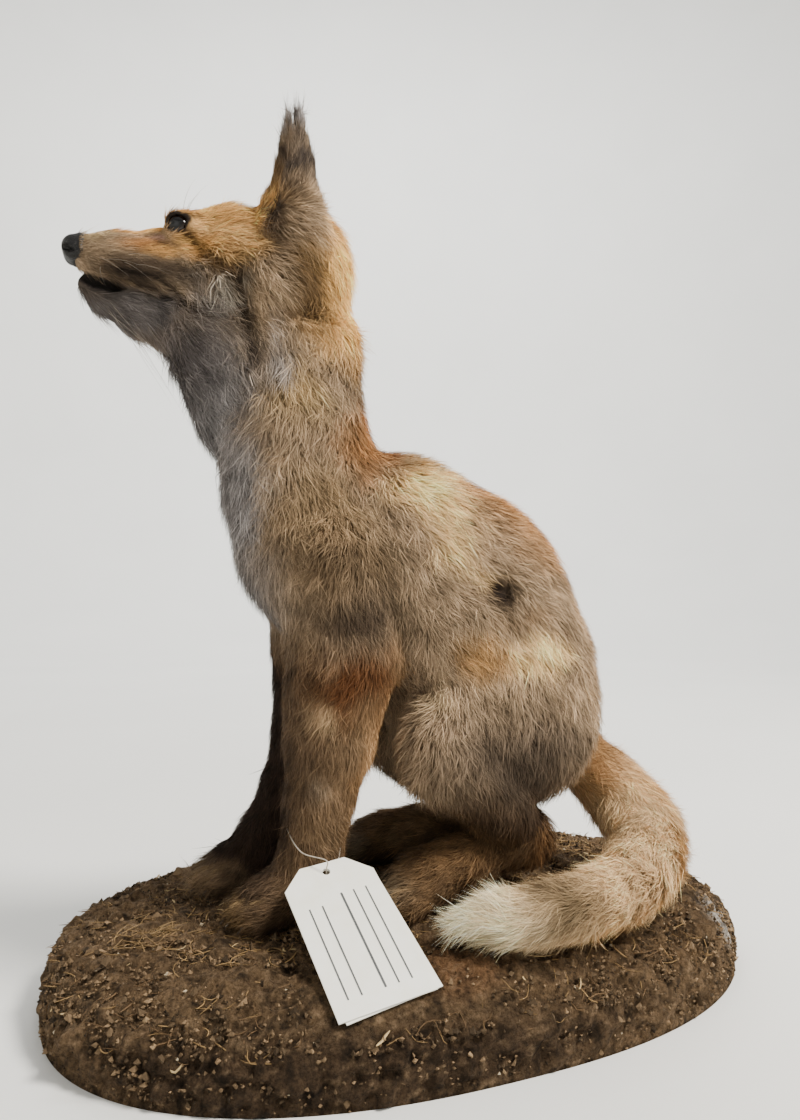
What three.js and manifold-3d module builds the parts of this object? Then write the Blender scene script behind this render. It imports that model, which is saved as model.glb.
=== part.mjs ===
// A young red fox, mounted sitting with its head raised, on an oval base spread with earth.
// A shop tag of two cards hangs on a thread from its left foreleg.
//
// Millimetres, +Z up. The fox faces -Y and its left side is +X. The origin is the centre of the
// base's underside. The body is one smooth field of swept bones with the coat's outer surface as
// its zero level. It is meshed piece by piece and parted with thin cuts.
import * as THREE from "three";
import Module from "manifold-3d";

// ---------------------------------------------------------------- driving dimensions
const BASE_LENGTH = 364; // along Y
const BASE_WIDTH = 244; // along X
const BASE_THICKNESS = 38;
const BASE_RIM = 12; // height at which the wall starts to roll over
const BASE_ROLL = 40; // how far in the wall has rolled over on to the top
const BASE_TURN = 4; // degrees that the oval is turned towards the fox's left
const BASE_SQUARENESS = 2.35; // exponent of the oval: 2 is an ellipse
const GAP = 0.3; // clearance between neighbouring solids

const NECK_TOP = 352; // height of the nape
const SHOULDER_HEIGHT = 280;
const EYE_RADIUS = 6.3;
const EYE = [14, -122.5, 375];
const EAR_HEIGHT = 49;
const EAR_THICKNESS = 2.6;

const GROUND = BASE_THICKNESS; // the earth that the feet stand on

const FOX_COAT = { colour: 0xa98a66, roughness: 0.95 };
const DARK_COAT = { colour: 0x6b4a30, roughness: 0.95 };
const PALE_COAT = { colour: 0xc9b594, roughness: 0.95 };
const EAR_COAT = { colour: 0x54453a, roughness: 0.95 };
const NOSE_LEATHER = { colour: 0x1c1a1a, roughness: 0.4 };
const GLASS_EYE = { colour: 0x14100e, roughness: 0.05 };
const EARTH = { colour: 0x5a4636, roughness: 1.0 };
const CARD = { colour: 0xf0efe4, roughness: 0.6 };
const THREAD = { colour: 0xcfc8b8, roughness: 0.5 };

const wasm = await Module();
wasm.setup();

// ---------------------------------------------------------------- the body's field
const mix = (a, b, t) => a + (b - a) * t;
const clamp = (x, low, high) => Math.min(high, Math.max(low, x));
const sub = (a, b) => [a[0] - b[0], a[1] - b[1], a[2] - b[2]];
const dot = (a, b) => a[0] * b[0] + a[1] * b[1] + a[2] * b[2];

// A swept bone from a to b with the coat's radius at each end. wide is the width across the body
// as a share of the depth, and blend is how softly it melts into the bones before it.
function bone(a, b, radiusA, radiusB, { wide = 1, blend = 12, both = false } = {}) {
  const along = sub(b, a);
  const length2 = Math.max(dot(along, along), 1e-9);
  const across = [1, 0, 0].map((x, i) => x - (along[0] / length2) * along[i]);
  const size = Math.sqrt(Math.max(dot(across, across), 1e-9));
  const side = across.map((x) => x / size);
  const distance = (point) => {
    const p = both ? [Math.abs(point[0]), point[1], point[2]] : point;
    const t = clamp(dot(sub(p, a), along) / length2, 0, 1);
    const off = sub(p, [0, 1, 2].map((i) => a[i] + along[i] * t));
    const out = dot(off, side);
    const rest2 = Math.max(dot(off, off) - out * out, 0);
    const reach = Math.sqrt(rest2 + (out / wide) ** 2);
    const lean = reach > 1e-6 ? (out / wide / reach) ** 2 : 0;
    return (reach - mix(radiusA, radiusB, t)) / Math.sqrt(1 + lean * (1 / wide ** 2 - 1));
  };
  return { distance, blend };
}

// Bones strung through stations, each a point with its radius.
function chain(stations, options) {
  return stations.slice(1).map(([b, radiusB], i) => {
    const [a, radiusA] = stations[i];
    return bone(a, b, radiusA, radiusB, options);
  });
}

const torso = [
  bone([0, -42, 224], [0, -22, 214], 54, 58, { wide: 0.78 }), // chest
  bone([0, -2, 208], [0, 20, 196], 61, 63, { wide: 0.74, blend: 20 }), // ribs
  bone([0, 34, 178], [0, 45, 150], 63, 60, { wide: 0.8, blend: 20 }), // loin
  bone([0, 50, 148], [0, 55, 136], 58, 55, { wide: 0.84, blend: 20 }), // rump
];

const neck = chain(
  [
    [[0, -68, NECK_TOP + 4], 36],
    [[0, -67, 322], 38],
    [[0, -67, 290], 40],
    [[0, -60, SHOULDER_HEIGHT - 24], 44],
  ],
  { wide: 0.87, blend: 14 },
);

const skull = [
  bone([0, -66, 370], [0, -90, 366], 32.5, 27, { blend: 14 }), // cranium
  bone([0, -98, 367], [0, -110, 364], 24, 22, { blend: 12 }), // forehead
  bone([12.5, -112, 378], [15, -100, 379], 8, 8.5, { both: true, blend: 10 }), // brows
  bone([19, -100, 352], [25, -82, 350], 19, 21, { both: true, blend: 14 }), // cheeks
  bone([0, -108, 334], [0, -90, 318], 25, 30, { blend: 16 }), // throat
];

const muzzle = chain(
  [
    [[0, -114, 361], 18],
    [[0, -132, 361.5], 15.5],
    [[0, -152, 361.5], 12.4],
    [[0, -166, 362.5], 9.2],
  ],
  { wide: 0.92, blend: 7 },
);

const jaw = chain(
  [
    [[0, -108, 334], 21],
    [[0, -124, 332], 17],
    [[0, -142, 337], 12.6],
    [[0, -157, 342.5], 9],
    [[0, -164, 346.5], 6.4],
  ],
  { wide: 0.86, blend: 5 },
);

// A paw with four toes that spread from its ball. heading is the way it points, in degrees out
// from straight ahead.
const TOES = [-1.5, -0.5, 0.5, 1.5];
function paw([x, y], heading, { reach, height, toe, spread }) {
  const turn = THREE.MathUtils.degToRad(heading);
  const ahead = [Math.sin(turn), -Math.cos(turn)];
  const sideways = [Math.cos(turn), Math.sin(turn)];
  const at = (forward, side, up) => [
    x + ahead[0] * forward + sideways[0] * side,
    y + ahead[1] * forward + sideways[1] * side,
    GROUND + up,
  ];
  const ball = bone(at(-4, 0, height), at(5, 0, height - 2), height + 1, height, { blend: 10 });
  const toes = TOES.map((place) => {
    const length = reach - 2.2 * place * place;
    return bone(
      at(3, place * spread * 0.7, height - 3),
      at(length, place * spread, toe - 1),
      toe + 1,
      toe,
      { blend: 3.5 },
    );
  });
  return [ball, ...toes];
}

const forelegLeft = chain(
  [
    [[28, -52, 212], 25],
    [[28, -44, 165], 24],
    [[28, -47.5, 144], 21.5],
    [[28, -50, 122], 19],
    [[27.5, -55, 96], 15],
    [[26.5, -59, 70], 13],
    [[27, -64, 56], 13],
  ],
  { blend: 16 },
);
const forelegRight = chain(
  [
    [[-28, -52, 212], 25],
    [[-28, -42, 165], 24],
    [[-28, -45, 140], 20],
    [[-28, -49, 116], 17.5],
    [[-28, -58, 90], 14.5],
    [[-28, -70, 66], 13.5],
    [[-28, -76, 56], 13],
  ],
  { blend: 16 },
);
const forepawLeft = paw([27.5, -73], 4, { reach: 18, height: 13, toe: 7.6, spread: 8 });
const forepawRight = paw([-29, -84], 6, { reach: 18, height: 13, toe: 7.6, spread: 8 });

const haunch = [
  bone([26, 58, 126], [34, 16, 121], 42, 34, { wide: 0.62, both: true, blend: 14 }), // thighs
];
const hindfootLeft = chain(
  [
    [[36, 8, 112], 22],
    [[30, 38, 88], 19],
    [[23, 58, 67], 14.5],
    [[29, 20, 57], 14],
    [[32, 2, 54], 14],
  ],
  { blend: 10 },
);
const hindfootRight = chain(
  [
    [[-36, 8, 112], 22],
    [[-30, 38, 88], 19],
    [[-25, 58, 67], 14.5],
    [[-38, 20, 56], 13.5],
    [[-43, 4, 53], 13.5],
  ],
  { blend: 10 },
);
const hindpawLeft = paw([33, -5], 12, { reach: 19, height: 13, toe: 8, spread: 8 });
const hindpawRight = paw([-46, -2], -24, { reach: 19, height: 13, toe: 8, spread: 8 });

const tail = chain(
  [
    [[0, 78, 120], 20],
    [[2, 100, 104], 19],
    [[10, 118, 86], 20],
    [[30, 124, 70], 21.5],
    [[56, 112, 62], 20],
    [[78, 88, 57.5], 17],
    [[90, 62, 55], 15],
    [[94, 38, 54], 14],
    [[92, 17, 53], 13],
    [[85, 2, 51], 8.5],
    [[80, -5, 49], 3],
  ],
  { blend: 10 },
);

// Each limb melts into the torso, and limbs only meet each other at a crease.
const TORSO = [...torso, ...neck, ...skull, ...muzzle];
const LIMBS = [
  haunch,
  [...forelegLeft, ...forepawLeft],
  [...forelegRight, ...forepawRight],
  [...haunch, ...hindfootLeft, ...hindpawLeft],
  [...haunch, ...hindfootRight, ...hindpawRight],
  tail,
];

function melted(bones, point, start = 1e3) {
  let value = start;
  for (const { distance, blend } of bones) {
    const d = distance(point);
    const h = Math.max(blend - Math.abs(d - value), 0) / blend;
    value = Math.min(d, value) - (h * h * blend) / 4;
  }
  return value;
}

function body(point) {
  const core = melted(TORSO, point);
  return Math.min(core, ...LIMBS.map((limb) => melted(limb, point, core)));
}

// ---------------------------------------------------------------- meshing
// A closed mesh of the field's zero level inside a box, by naive surface nets, with its vertices
// then moved onto the level.
function meshField(field, [low, high], cell) {
  const counts = [0, 1, 2].map((i) => Math.ceil((high[i] - low[i]) / cell) + 1);
  const [nx, ny, nz] = counts;
  const at = (i, j, k) => (k * ny + j) * nx + i;
  const place = (i, j, k) => [low[0] + i * cell, low[1] + j * cell, low[2] + k * cell];
  const walls = (p) =>
    Math.max(...[0, 1, 2].map((i) => Math.max(low[i] + cell - p[i], p[i] - high[i] + cell)));
  const closed = (p) => Math.max(field(p), walls(p));
  const values = new Float32Array(nx * ny * nz);
  for (let k = 0; k < nz; k++)
    for (let j = 0; j < ny; j++)
      for (let i = 0; i < nx; i++) values[at(i, j, k)] = closed(place(i, j, k));

  const corners = [0, 1].flatMap((k) => [0, 1].flatMap((j) => [0, 1].map((i) => [i, j, k])));
  const edges = corners.flatMap((a, m) =>
    corners.slice(m + 1).map((b) => [a, b]),
  ).filter(([a, b]) => Math.abs(a[0] - b[0]) + Math.abs(a[1] - b[1]) + Math.abs(a[2] - b[2]) === 1);
  const vertexOf = new Int32Array(nx * ny * nz).fill(-1);
  const points = [];
  for (let k = 0; k < nz - 1; k++)
    for (let j = 0; j < ny - 1; j++)
      for (let i = 0; i < nx - 1; i++) {
        const sum = [0, 0, 0];
        let crossings = 0;
        for (const [a, b] of edges) {
          const va = values[at(i + a[0], j + a[1], k + a[2])];
          const vb = values[at(i + b[0], j + b[1], k + b[2])];
          if (va < 0 === vb < 0) continue;
          const t = va / (va - vb);
          for (let n = 0; n < 3; n++) sum[n] += mix(a[n], b[n], t);
          crossings += 1;
        }
        if (!crossings) continue;
        vertexOf[at(i, j, k)] = points.length;
        const corner = place(i, j, k);
        points.push(sum.map((s, n) => corner[n] + (s / crossings) * cell));
      }

  const triangles = [];
  const far = (a, b) => Math.hypot(...sub(points[a], points[b]));
  const quad = (a, b, c, d) => {
    if (far(a, c) <= far(b, d)) triangles.push(a, b, c, a, c, d);
    else triangles.push(a, b, d, b, c, d);
  };
  for (let k = 1; k < nz - 1; k++)
    for (let j = 1; j < ny - 1; j++)
      for (let i = 1; i < nx - 1; i++) {
        const inside = values[at(i, j, k)] < 0;
        const around = [
          [values[at(i + 1, j, k)] < 0, [0, 0, 0], [0, -1, 0], [0, -1, -1], [0, 0, -1]],
          [values[at(i, j + 1, k)] < 0, [0, 0, 0], [0, 0, -1], [-1, 0, -1], [-1, 0, 0]],
          [values[at(i, j, k + 1)] < 0, [0, 0, 0], [-1, 0, 0], [-1, -1, 0], [0, -1, 0]],
        ];
        for (const [next, ...cells] of around) {
          if (inside === next) continue;
          const ring = cells.map(([a, b, c]) => vertexOf[at(i + a, j + b, k + c)]);
          quad(...(inside ? ring : ring.reverse()));
        }
      }

  const step = cell / 50;
  for (const p of points) {
    for (let pass = 0; pass < 3; pass++) {
      const value = closed(p);
      const slope = [0, 1, 2].map((n) => {
        const q = [...p];
        q[n] += step;
        return (closed(q) - value) / step;
      });
      const size2 = Math.max(dot(slope, slope), 0.05);
      const move = clamp(value, -cell / 2, cell / 2) / size2;
      for (let n = 0; n < 3; n++) p[n] -= clamp(slope[n] * move, -cell / 3, cell / 3);
    }
  }
  return solid(points, triangles);
}

function solid(points, triangles) {
  const mesh = new wasm.Mesh({
    numProp: 3,
    vertProperties: new Float32Array(points.flat()),
    triVerts: new Uint32Array(triangles),
  });
  return new wasm.Manifold(mesh);
}

// The same solid with vertices closer than WELD brought together, so that no cut leaves a sliver.
const WELD = 0.05;
function welded(shape) {
  const mesh = shape.getMesh();
  const seen = new Map();
  const points = [];
  const merged = [];
  for (let i = 0; i < mesh.vertProperties.length; i += 3) {
    const p = [...mesh.vertProperties.slice(i, i + 3)];
    const key = p.map((x) => Math.round(x / WELD)).join();
    if (!seen.has(key)) {
      seen.set(key, points.length);
      points.push(p);
    }
    merged.push(seen.get(key));
  }
  const faces = new Map();
  for (let i = 0; i < mesh.triVerts.length; i += 3) {
    const face = [...mesh.triVerts.slice(i, i + 3)].map((v) => merged[v]);
    if (new Set(face).size < 3) continue;
    const key = [...face].sort((a, b) => a - b).join();
    if (faces.has(key)) faces.delete(key);
    else faces.set(key, face);
  }
  return solid(points, [...faces.values()].flat());
}

// A solid lofted through closed rings of equal count, with flat ends.
function loft(rings) {
  const count = rings[0].length;
  const points = rings.flat();
  const triangles = [];
  for (let r = 0; r < rings.length - 1; r++)
    for (let i = 0; i < count; i++) {
      const a = r * count + i;
      const b = r * count + ((i + 1) % count);
      triangles.push(a, b, b + count, a, b + count, a + count);
    }
  const cap = (ring, first, flip) => {
    const centre = points.length;
    points.push([0, 1, 2].map((n) => ring.reduce((s, p) => s + p[n], 0) / count));
    for (let i = 0; i < count; i++) {
      const pair = [first + i, first + ((i + 1) % count)];
      triangles.push(centre, ...(flip ? pair.reverse() : pair));
    }
  };
  cap(rings[0], 0, true);
  cap(rings.at(-1), (rings.length - 1) * count, false);
  const made = solid(points, triangles);
  return made.volume() < 0 ? solid(points, triangles.reverse()) : made;
}

// The same solid with every vertex moved out along its normal, as a seat for the solid itself.
function swollen(shape, by) {
  const mesh = shape.getMesh();
  const geometry = new THREE.BufferGeometry();
  const position = new THREE.BufferAttribute(new Float32Array(mesh.vertProperties), 3);
  geometry.setAttribute("position", position);
  geometry.setIndex(new THREE.BufferAttribute(new Uint32Array(mesh.triVerts), 1));
  geometry.computeVertexNormals();
  const normal = geometry.getAttribute("normal");
  const points = [];
  for (let i = 0; i < position.count; i++) {
    points.push([
      position.getX(i) + by * normal.getX(i),
      position.getY(i) + by * normal.getY(i),
      position.getZ(i) + by * normal.getZ(i),
    ]);
  }
  return solid(points, [...mesh.triVerts]);
}

const largest = (shape) => shape.decompose().sort((a, b) => b.volume() - a.volume())[0];

// A three.js geometry moved, turned and stretched, as a solid.
function solidOf(geometry, { at = [0, 0, 0], turn = [0, 0, 0], stretch = [1, 1, 1] } = {}) {
  const source = geometry.index ? geometry.toNonIndexed() : geometry;
  const matrix = new THREE.Matrix4().compose(
    new THREE.Vector3(...at),
    new THREE.Quaternion().setFromEuler(
      new THREE.Euler(...turn.map(THREE.MathUtils.degToRad)),
    ),
    new THREE.Vector3(...stretch),
  );
  const position = source.getAttribute("position").clone().applyMatrix4(matrix);
  const seen = new Map();
  const points = [];
  const order = [];
  for (let i = 0; i < position.count; i++) {
    const p = [position.getX(i), position.getY(i), position.getZ(i)];
    const key = p.map((x) => Math.round(x * 1e3)).join();
    if (!seen.has(key)) {
      seen.set(key, points.length);
      points.push(p);
    }
    order.push(seen.get(key));
  }
  const triangles = [];
  for (let i = 0; i < order.length; i += 3) {
    const [a, b, c] = order.slice(i, i + 3);
    if (a !== b && b !== c && a !== c) triangles.push(a, b, c);
  }
  return solid(points, triangles);
}

// ---------------------------------------------------------------- the cuts
// Each cutter is a function of how far it is grown, so that neighbours part with a gap.
const BIG = 600;
const block = (low, high, turn = [0, 0, 0]) => (grow) =>
  solidOf(new THREE.BoxGeometry(1, 1, 1), {
    at: [0, 1, 2].map((i) => (low[i] + high[i]) / 2),
    turn,
    stretch: [0, 1, 2].map((i) => high[i] - low[i] + 2 * grow),
  });
const egg = (centre, radii, turn = [0, 0, 0]) => (grow) =>
  solidOf(new THREE.SphereGeometry(1, 24, 14), {
    at: centre,
    turn,
    stretch: radii.map((r) => r + grow),
  });
// Everything on the upper side of a plane that runs across the body through a point, tilted
// about X by an angle in degrees.
const above = ([y, z], tilt) => (grow) => {
  const turn = THREE.MathUtils.degToRad(tilt);
  const rise = BIG / 2 - grow;
  return solidOf(new THREE.BoxGeometry(BIG, BIG, BIG), {
    at: [0, y - Math.sin(turn) * rise, z + Math.cos(turn) * rise],
    turn: [tilt, 0, 0],
  });
};

// The region of each named part of the body. Where two regions share flesh, the first keeps it,
// and the trunk is what is left.
const REGIONS = {
  head: above([-68, 332], 22),
  neck: above([-54, 276], 12),
  forepaw_left: block([1, -150, 0], [80, -41, 66]),
  forepaw_right: block([-80, -150, 0], [-1, -41, 66]),
  foreleg_left: block([1, -150, 40], [80, -30, 166], [-11, 0, 0]),
  foreleg_right: block([-80, -150, 40], [-1, -30, 166], [-11, 0, 0]),
  tail_tip: block([44, -60, 0], [160, 22, 90]),
  tail_middle: block([44, 20, 0], [160, 100, 90]),
  tail_root: block([-60, 98, 0], [160, 230, 160], [32, 0, 0]),
  hindfoot_left: block([2, -70, 0], [90, 84, 80]),
  hindfoot_right: block([-90, -70, 0], [-2, 84, 80]),
  thigh_left: egg([62, 42, 118], [40, 66, 52], [-18, 0, 6]),
  thigh_right: egg([-62, 42, 118], [40, 66, 52], [-18, 0, -6]),
};
const EARTH_TOP = block([-BIG, -BIG, GROUND - BIG], [BIG, BIG, GROUND]);

// Whether every edge is shared by just two faces, with no two sheets touching along one.
function sheetsApart(shape) {
  const mesh = shape.getMesh();
  const keyOf = (v) =>
    [...mesh.vertProperties.slice(3 * v, 3 * v + 3)].map((x) => Math.round(x / 1e-3)).join();
  const uses = new Map();
  for (let i = 0; i < mesh.triVerts.length; i += 3) {
    const face = [...mesh.triVerts.slice(i, i + 3)].map(keyOf);
    for (const [a, b] of [[0, 1], [1, 2], [2, 0]]) {
      const key = [face[a], face[b]].sort().join("|");
      uses.set(key, (uses.get(key) ?? 0) + 1);
    }
  }
  return [...uses.values()].every((count) => count === 2);
}

// The part of the body called name, meshed in a box at a cell size, or a little finer where that
// would leave two sheets touching.
function flesh(name, box, cell) {
  const made = cutOut(name, box, cell);
  return sheetsApart(welded(made)) ? made : flesh(name, box, cell * 0.975);
}

function cutOut(name, box, cell) {
  let made = meshField(body, box, cell);
  const names = Object.keys(REGIONS);
  const own = names.indexOf(name);
  if (own >= 0) made = made.intersect(REGIONS[name](-GAP / 2));
  const taken = names.slice(0, own >= 0 ? own : names.length).map((other) => REGIONS[other]);
  for (const region of [...taken, EARTH_TOP]) made = made.subtract(region(GAP / 2));
  return largest(made);
}

// ---------------------------------------------------------------- ears, eyes, nose
// An ear is a tall cup, open forwards and outwards: rings of a crescent that close to the tip.
const EAR_STEPS = 7;
const EAR_ARC = 6;
const EAR_ROOT = [25, -67, 387];
const EAR_TIP = [25, -68, 387 + EAR_HEIGHT];
const FAR_EAR_BACK = 8; // the right ear is set further back than the left
function ear(side) {
  const rings = [];
  for (let n = 0; n <= EAR_STEPS; n++) {
    const t = n / EAR_STEPS;
    const halfWidth = mix(17, 5, t ** 0.8);
    const depth = halfWidth * mix(0.95, 0.6, t);
    const centre = [0, 1, 2].map((i) => mix(EAR_ROOT[i], EAR_TIP[i], t));
    const wall = Math.min(EAR_THICKNESS, halfWidth * 0.5);
    const ring = [];
    const open = mix(0.35, 0.62, t) * Math.PI; // half the angle left open at the front
    const arc = (shrink, s) => {
      const angle = mix(open, 2 * Math.PI - open, s);
      const forward = Math.cos(angle) * (depth - shrink);
      const across = Math.sin(angle) * (halfWidth - shrink);
      return [forward, across];
    };
    for (let i = 0; i < EAR_ARC; i++) ring.push(arc(0, i / (EAR_ARC - 1)));
    for (let i = EAR_ARC - 1; i >= 0; i--) ring.push(arc(wall, i / (EAR_ARC - 1)));
    const facing = THREE.MathUtils.degToRad(38); // out from straight ahead
    rings.push(
      ring.map(([forward, across]) => [
        side * (centre[0] + forward * Math.sin(facing) - across * Math.cos(facing)),
        centre[1] + (side < 0 ? FAR_EAR_BACK : 0) - forward * Math.cos(facing) - across * Math.sin(facing),
        centre[2],
      ]),
    );
  }
  return loft(rings);
}

const eyeball = (side, grow = 0) =>
  solidOf(new THREE.SphereGeometry(EYE_RADIUS + grow, 14, 8), {
    at: [side * EYE[0], EYE[1], EYE[2]],
  });

const NOSE = [
  bone([0, -166, 364], [0, -169.5, 363.5], 8, 7.2, { wide: 0.95 }),
  bone([3.8, -168, 361], [4.2, -169.5, 360], 5, 4.4, { both: true, blend: 3 }),
];

// ---------------------------------------------------------------- base and tag
const BASE_SIDES = 36;
function oval(inset, z) {
  const turn = THREE.MathUtils.degToRad(BASE_TURN);
  const ring = [];
  for (let i = 0; i < BASE_SIDES; i++) {
    const angle = (2 * Math.PI * i) / BASE_SIDES;
    const shape = (value, half) =>
      Math.sign(value) * (half - inset) * Math.abs(value) ** (2 / BASE_SQUARENESS);
    const x = shape(Math.cos(angle), BASE_WIDTH / 2);
    const y = shape(Math.sin(angle), BASE_LENGTH / 2);
    ring.push([
      x * Math.cos(turn) - y * Math.sin(turn),
      x * Math.sin(turn) + y * Math.cos(turn),
      z,
    ]);
  }
  return ring;
}
function base() {
  const rings = [oval(0, 0)];
  const steps = 6;
  for (let n = 0; n <= steps; n++) {
    const angle = (Math.PI / 2) * (n / steps);
    rings.push(
      oval(
        BASE_ROLL * (1 - Math.cos(angle)),
        BASE_RIM + (BASE_THICKNESS - BASE_RIM) * Math.sin(angle),
      ),
    );
  }
  return loft(rings);
}

const TAG_WIDTH = 43.5;
const TAG_LENGTH = 77;
const TAG_CORNER = 10.5;
const TAG_CARD = 0.7;
const TAG_HOLE = 1.8; // radius
const TAG_HOLE_DOWN = 5.4; // from the tag's top edge to its hole
const TAG_FOOT = [111.2, -44.8, 32.4]; // middle of the lower edge, on the roll of the base
const TAG_ACROSS = [-0.121, 0.986, 0.116];
const TAG_UP = [-0.861, -0.162, 0.482];

// The tag's own axes: across, up its length, and out of its face.
function tagMatrix(lift, turn) {
  const across = new THREE.Vector3(...TAG_ACROSS).normalize();
  const up = new THREE.Vector3(...TAG_UP).normalize();
  const out = new THREE.Vector3().crossVectors(across, up).normalize();
  up.crossVectors(out, across);
  return new THREE.Matrix4()
    .makeBasis(across, up, out)
    .setPosition(...TAG_FOOT)
    .multiply(new THREE.Matrix4().makeTranslation(0, TAG_LENGTH - TAG_HOLE_DOWN, lift))
    .multiply(new THREE.Matrix4().makeRotationZ(THREE.MathUtils.degToRad(turn)))
    .multiply(new THREE.Matrix4().makeTranslation(0, TAG_HOLE_DOWN - TAG_LENGTH, 0));
}

function card(lift, turn) {
  const half = TAG_WIDTH / 2;
  const outline = new THREE.Shape([
    new THREE.Vector2(-half, 0),
    new THREE.Vector2(half, 0),
    new THREE.Vector2(half, TAG_LENGTH - TAG_CORNER),
    new THREE.Vector2(half - TAG_CORNER, TAG_LENGTH),
    new THREE.Vector2(TAG_CORNER - half, TAG_LENGTH),
    new THREE.Vector2(-half, TAG_LENGTH - TAG_CORNER),
  ]);
  const hole = new THREE.Path();
  hole.absarc(0, TAG_LENGTH - TAG_HOLE_DOWN, TAG_HOLE, 0, 2 * Math.PI, true);
  outline.holes.push(hole);
  const sheet = new THREE.ExtrudeGeometry(outline, {
    depth: TAG_CARD,
    bevelEnabled: false,
    curveSegments: 6,
  });
  return solidOf(sheet.applyMatrix4(tagMatrix(lift, turn)));
}

// The thread: a closed loop round the wrist that passes through the hole of both cards.
const THREAD_RADIUS = 0.45;
const THREAD_STEPS = 42;
function thread() {
  const through = (lift, up) =>
    new THREE.Vector3(0, TAG_LENGTH - TAG_HOLE_DOWN + up, lift).applyMatrix4(tagMatrix(0, 0));
  const wrist = [
    [39, -38.5, 66],
    [27, -35, 75],
    [9, -42, 81],
    [4.5, -60, 81],
    [18, -78, 79],
    [38, -76, 77],
  ].map((p) => new THREE.Vector3(...p));
  const path = new THREE.CatmullRomCurve3(
    [through(6, 2), through(2.5, 0), through(-2.5, 0), through(-5, 2), ...wrist],
    true,
  );
  return solidOf(new THREE.TubeGeometry(path, THREAD_STEPS, THREAD_RADIUS, 6, true));
}

// ---------------------------------------------------------------- the model
const fox = new THREE.Group();
function add(name, shape, { colour, roughness }) {
  const mesh = welded(shape).getMesh();
  const geometry = new THREE.BufferGeometry();
  const points = new Float32Array(mesh.vertProperties);
  geometry.setAttribute("position", new THREE.BufferAttribute(points, 3));
  geometry.setIndex(new THREE.BufferAttribute(new Uint32Array(mesh.triVerts), 1));
  geometry.computeVertexNormals();
  const material = new THREE.MeshStandardMaterial({ color: colour, roughness, metalness: 0 });
  const node = new THREE.Mesh(geometry, material);
  node.name = name;
  fox.add(node);
}

const SIDES = [["left", 1], ["right", -1]];
const box = ([low, high], side) =>
  side > 0 ? [low, high] : [[-high[0], low[1], low[2]], [-low[0], high[1], high[2]]];

const NOSE_BOX = [[-14, -186, 350], [14, -154, 378]];
const nosePad = meshField((p) => melted(NOSE, p), NOSE_BOX, 4.0);
const HEAD_BOX = [[-60, -190, 296], [60, -10, 420]];
const jawBox = [[-34, -180, 300], [34, -100, 370]];
const jawMesh = meshField((p) => melted(jaw, p), jawBox, 7.4).intersect(REGIONS.head(-GAP / 2));
let head = flesh("head", HEAD_BOX, 10.4);
head = head.subtract(swollen(nosePad, 0.5)).subtract(swollen(jawMesh, 0.5));
for (const [, side] of SIDES) head = head.subtract(eyeball(side, GAP));
add("head", largest(head), FOX_COAT);
add("jaw", jawMesh, PALE_COAT);
add("nose", nosePad, NOSE_LEATHER);
for (const [name, side] of SIDES) {
  add(`eye_${name}`, eyeball(side), GLASS_EYE);
  add(`ear_${name}`, largest(ear(side).subtract(swollen(head, GAP))), EAR_COAT);
}
add("neck", flesh("neck", [[-60, -130, 230], [60, 10, 380]], 14), FOX_COAT);
add("trunk", flesh("trunk", [[-84, -126, 40], [84, 150, 330]], 23), FOX_COAT);
for (const [name, side] of SIDES) {
  const limbs = [
    ["foreleg", [[-8, -125, 40], [72, 10, 190]], 11.2, DARK_COAT],
    ["forepaw", [[-8, -130, 24], [72, 10, 86]], 7.8, DARK_COAT],
    ["thigh", [[8, -50, 40], [90, 130, 190]], 12.6, FOX_COAT],
    ["hindfoot", [[-8, -70, 24], [90, 100, 100]], 10, DARK_COAT],
  ];
  for (const [limb, bounds, cell, coat] of limbs) {
    add(`${limb}_${name}`, flesh(`${limb}_${name}`, box(bounds, side), cell), coat);
  }
}
add("tail_root", flesh("tail_root", [[-50, 50, 20], [130, 180, 150]], 14), FOX_COAT);
add("tail_middle", flesh("tail_middle", [[40, -10, 20], [130, 116, 100]], 10.6), FOX_COAT);
add("tail_tip", flesh("tail_tip", [[40, -40, 20], [130, 40, 90]], 7), PALE_COAT);
add("base", base(), EARTH);
add("tag_front", card(0, 0), CARD);
add("tag_back", card(-TAG_CARD - GAP, 2.5), CARD);
add("tag_thread", thread(), THREAD);

export default fox;
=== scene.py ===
"""The looks of a mounted young fox: skin, coat, eyes, nose, claws, earth base, tag and studio.

Lengths are millimetres until a mesh is made, and metres in Blender. The fox faces -Y, its left
side is +X and +Z is up.
"""

from __future__ import annotations

import logging
import math
from collections.abc import Callable, Sequence
from dataclasses import dataclass
from enum import Enum
from functools import cached_property

import bpy
import numpy as np
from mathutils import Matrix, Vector

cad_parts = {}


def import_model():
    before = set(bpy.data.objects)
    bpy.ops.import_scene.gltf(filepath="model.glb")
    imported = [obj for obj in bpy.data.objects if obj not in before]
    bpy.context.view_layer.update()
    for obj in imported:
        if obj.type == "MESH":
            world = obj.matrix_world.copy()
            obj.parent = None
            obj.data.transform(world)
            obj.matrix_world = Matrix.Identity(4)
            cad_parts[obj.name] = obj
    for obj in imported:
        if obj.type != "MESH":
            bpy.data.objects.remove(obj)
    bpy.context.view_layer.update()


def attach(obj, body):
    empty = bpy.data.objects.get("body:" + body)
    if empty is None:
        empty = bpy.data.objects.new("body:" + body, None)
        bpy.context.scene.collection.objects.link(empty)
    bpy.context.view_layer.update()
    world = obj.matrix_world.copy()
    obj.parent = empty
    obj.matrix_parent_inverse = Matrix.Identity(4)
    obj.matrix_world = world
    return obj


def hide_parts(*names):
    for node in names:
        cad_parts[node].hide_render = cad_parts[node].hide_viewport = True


LOG = logging.getLogger("fox")
Array = np.ndarray
Vec3 = tuple[float, float, float]
Piece = bpy.types.Object

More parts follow.
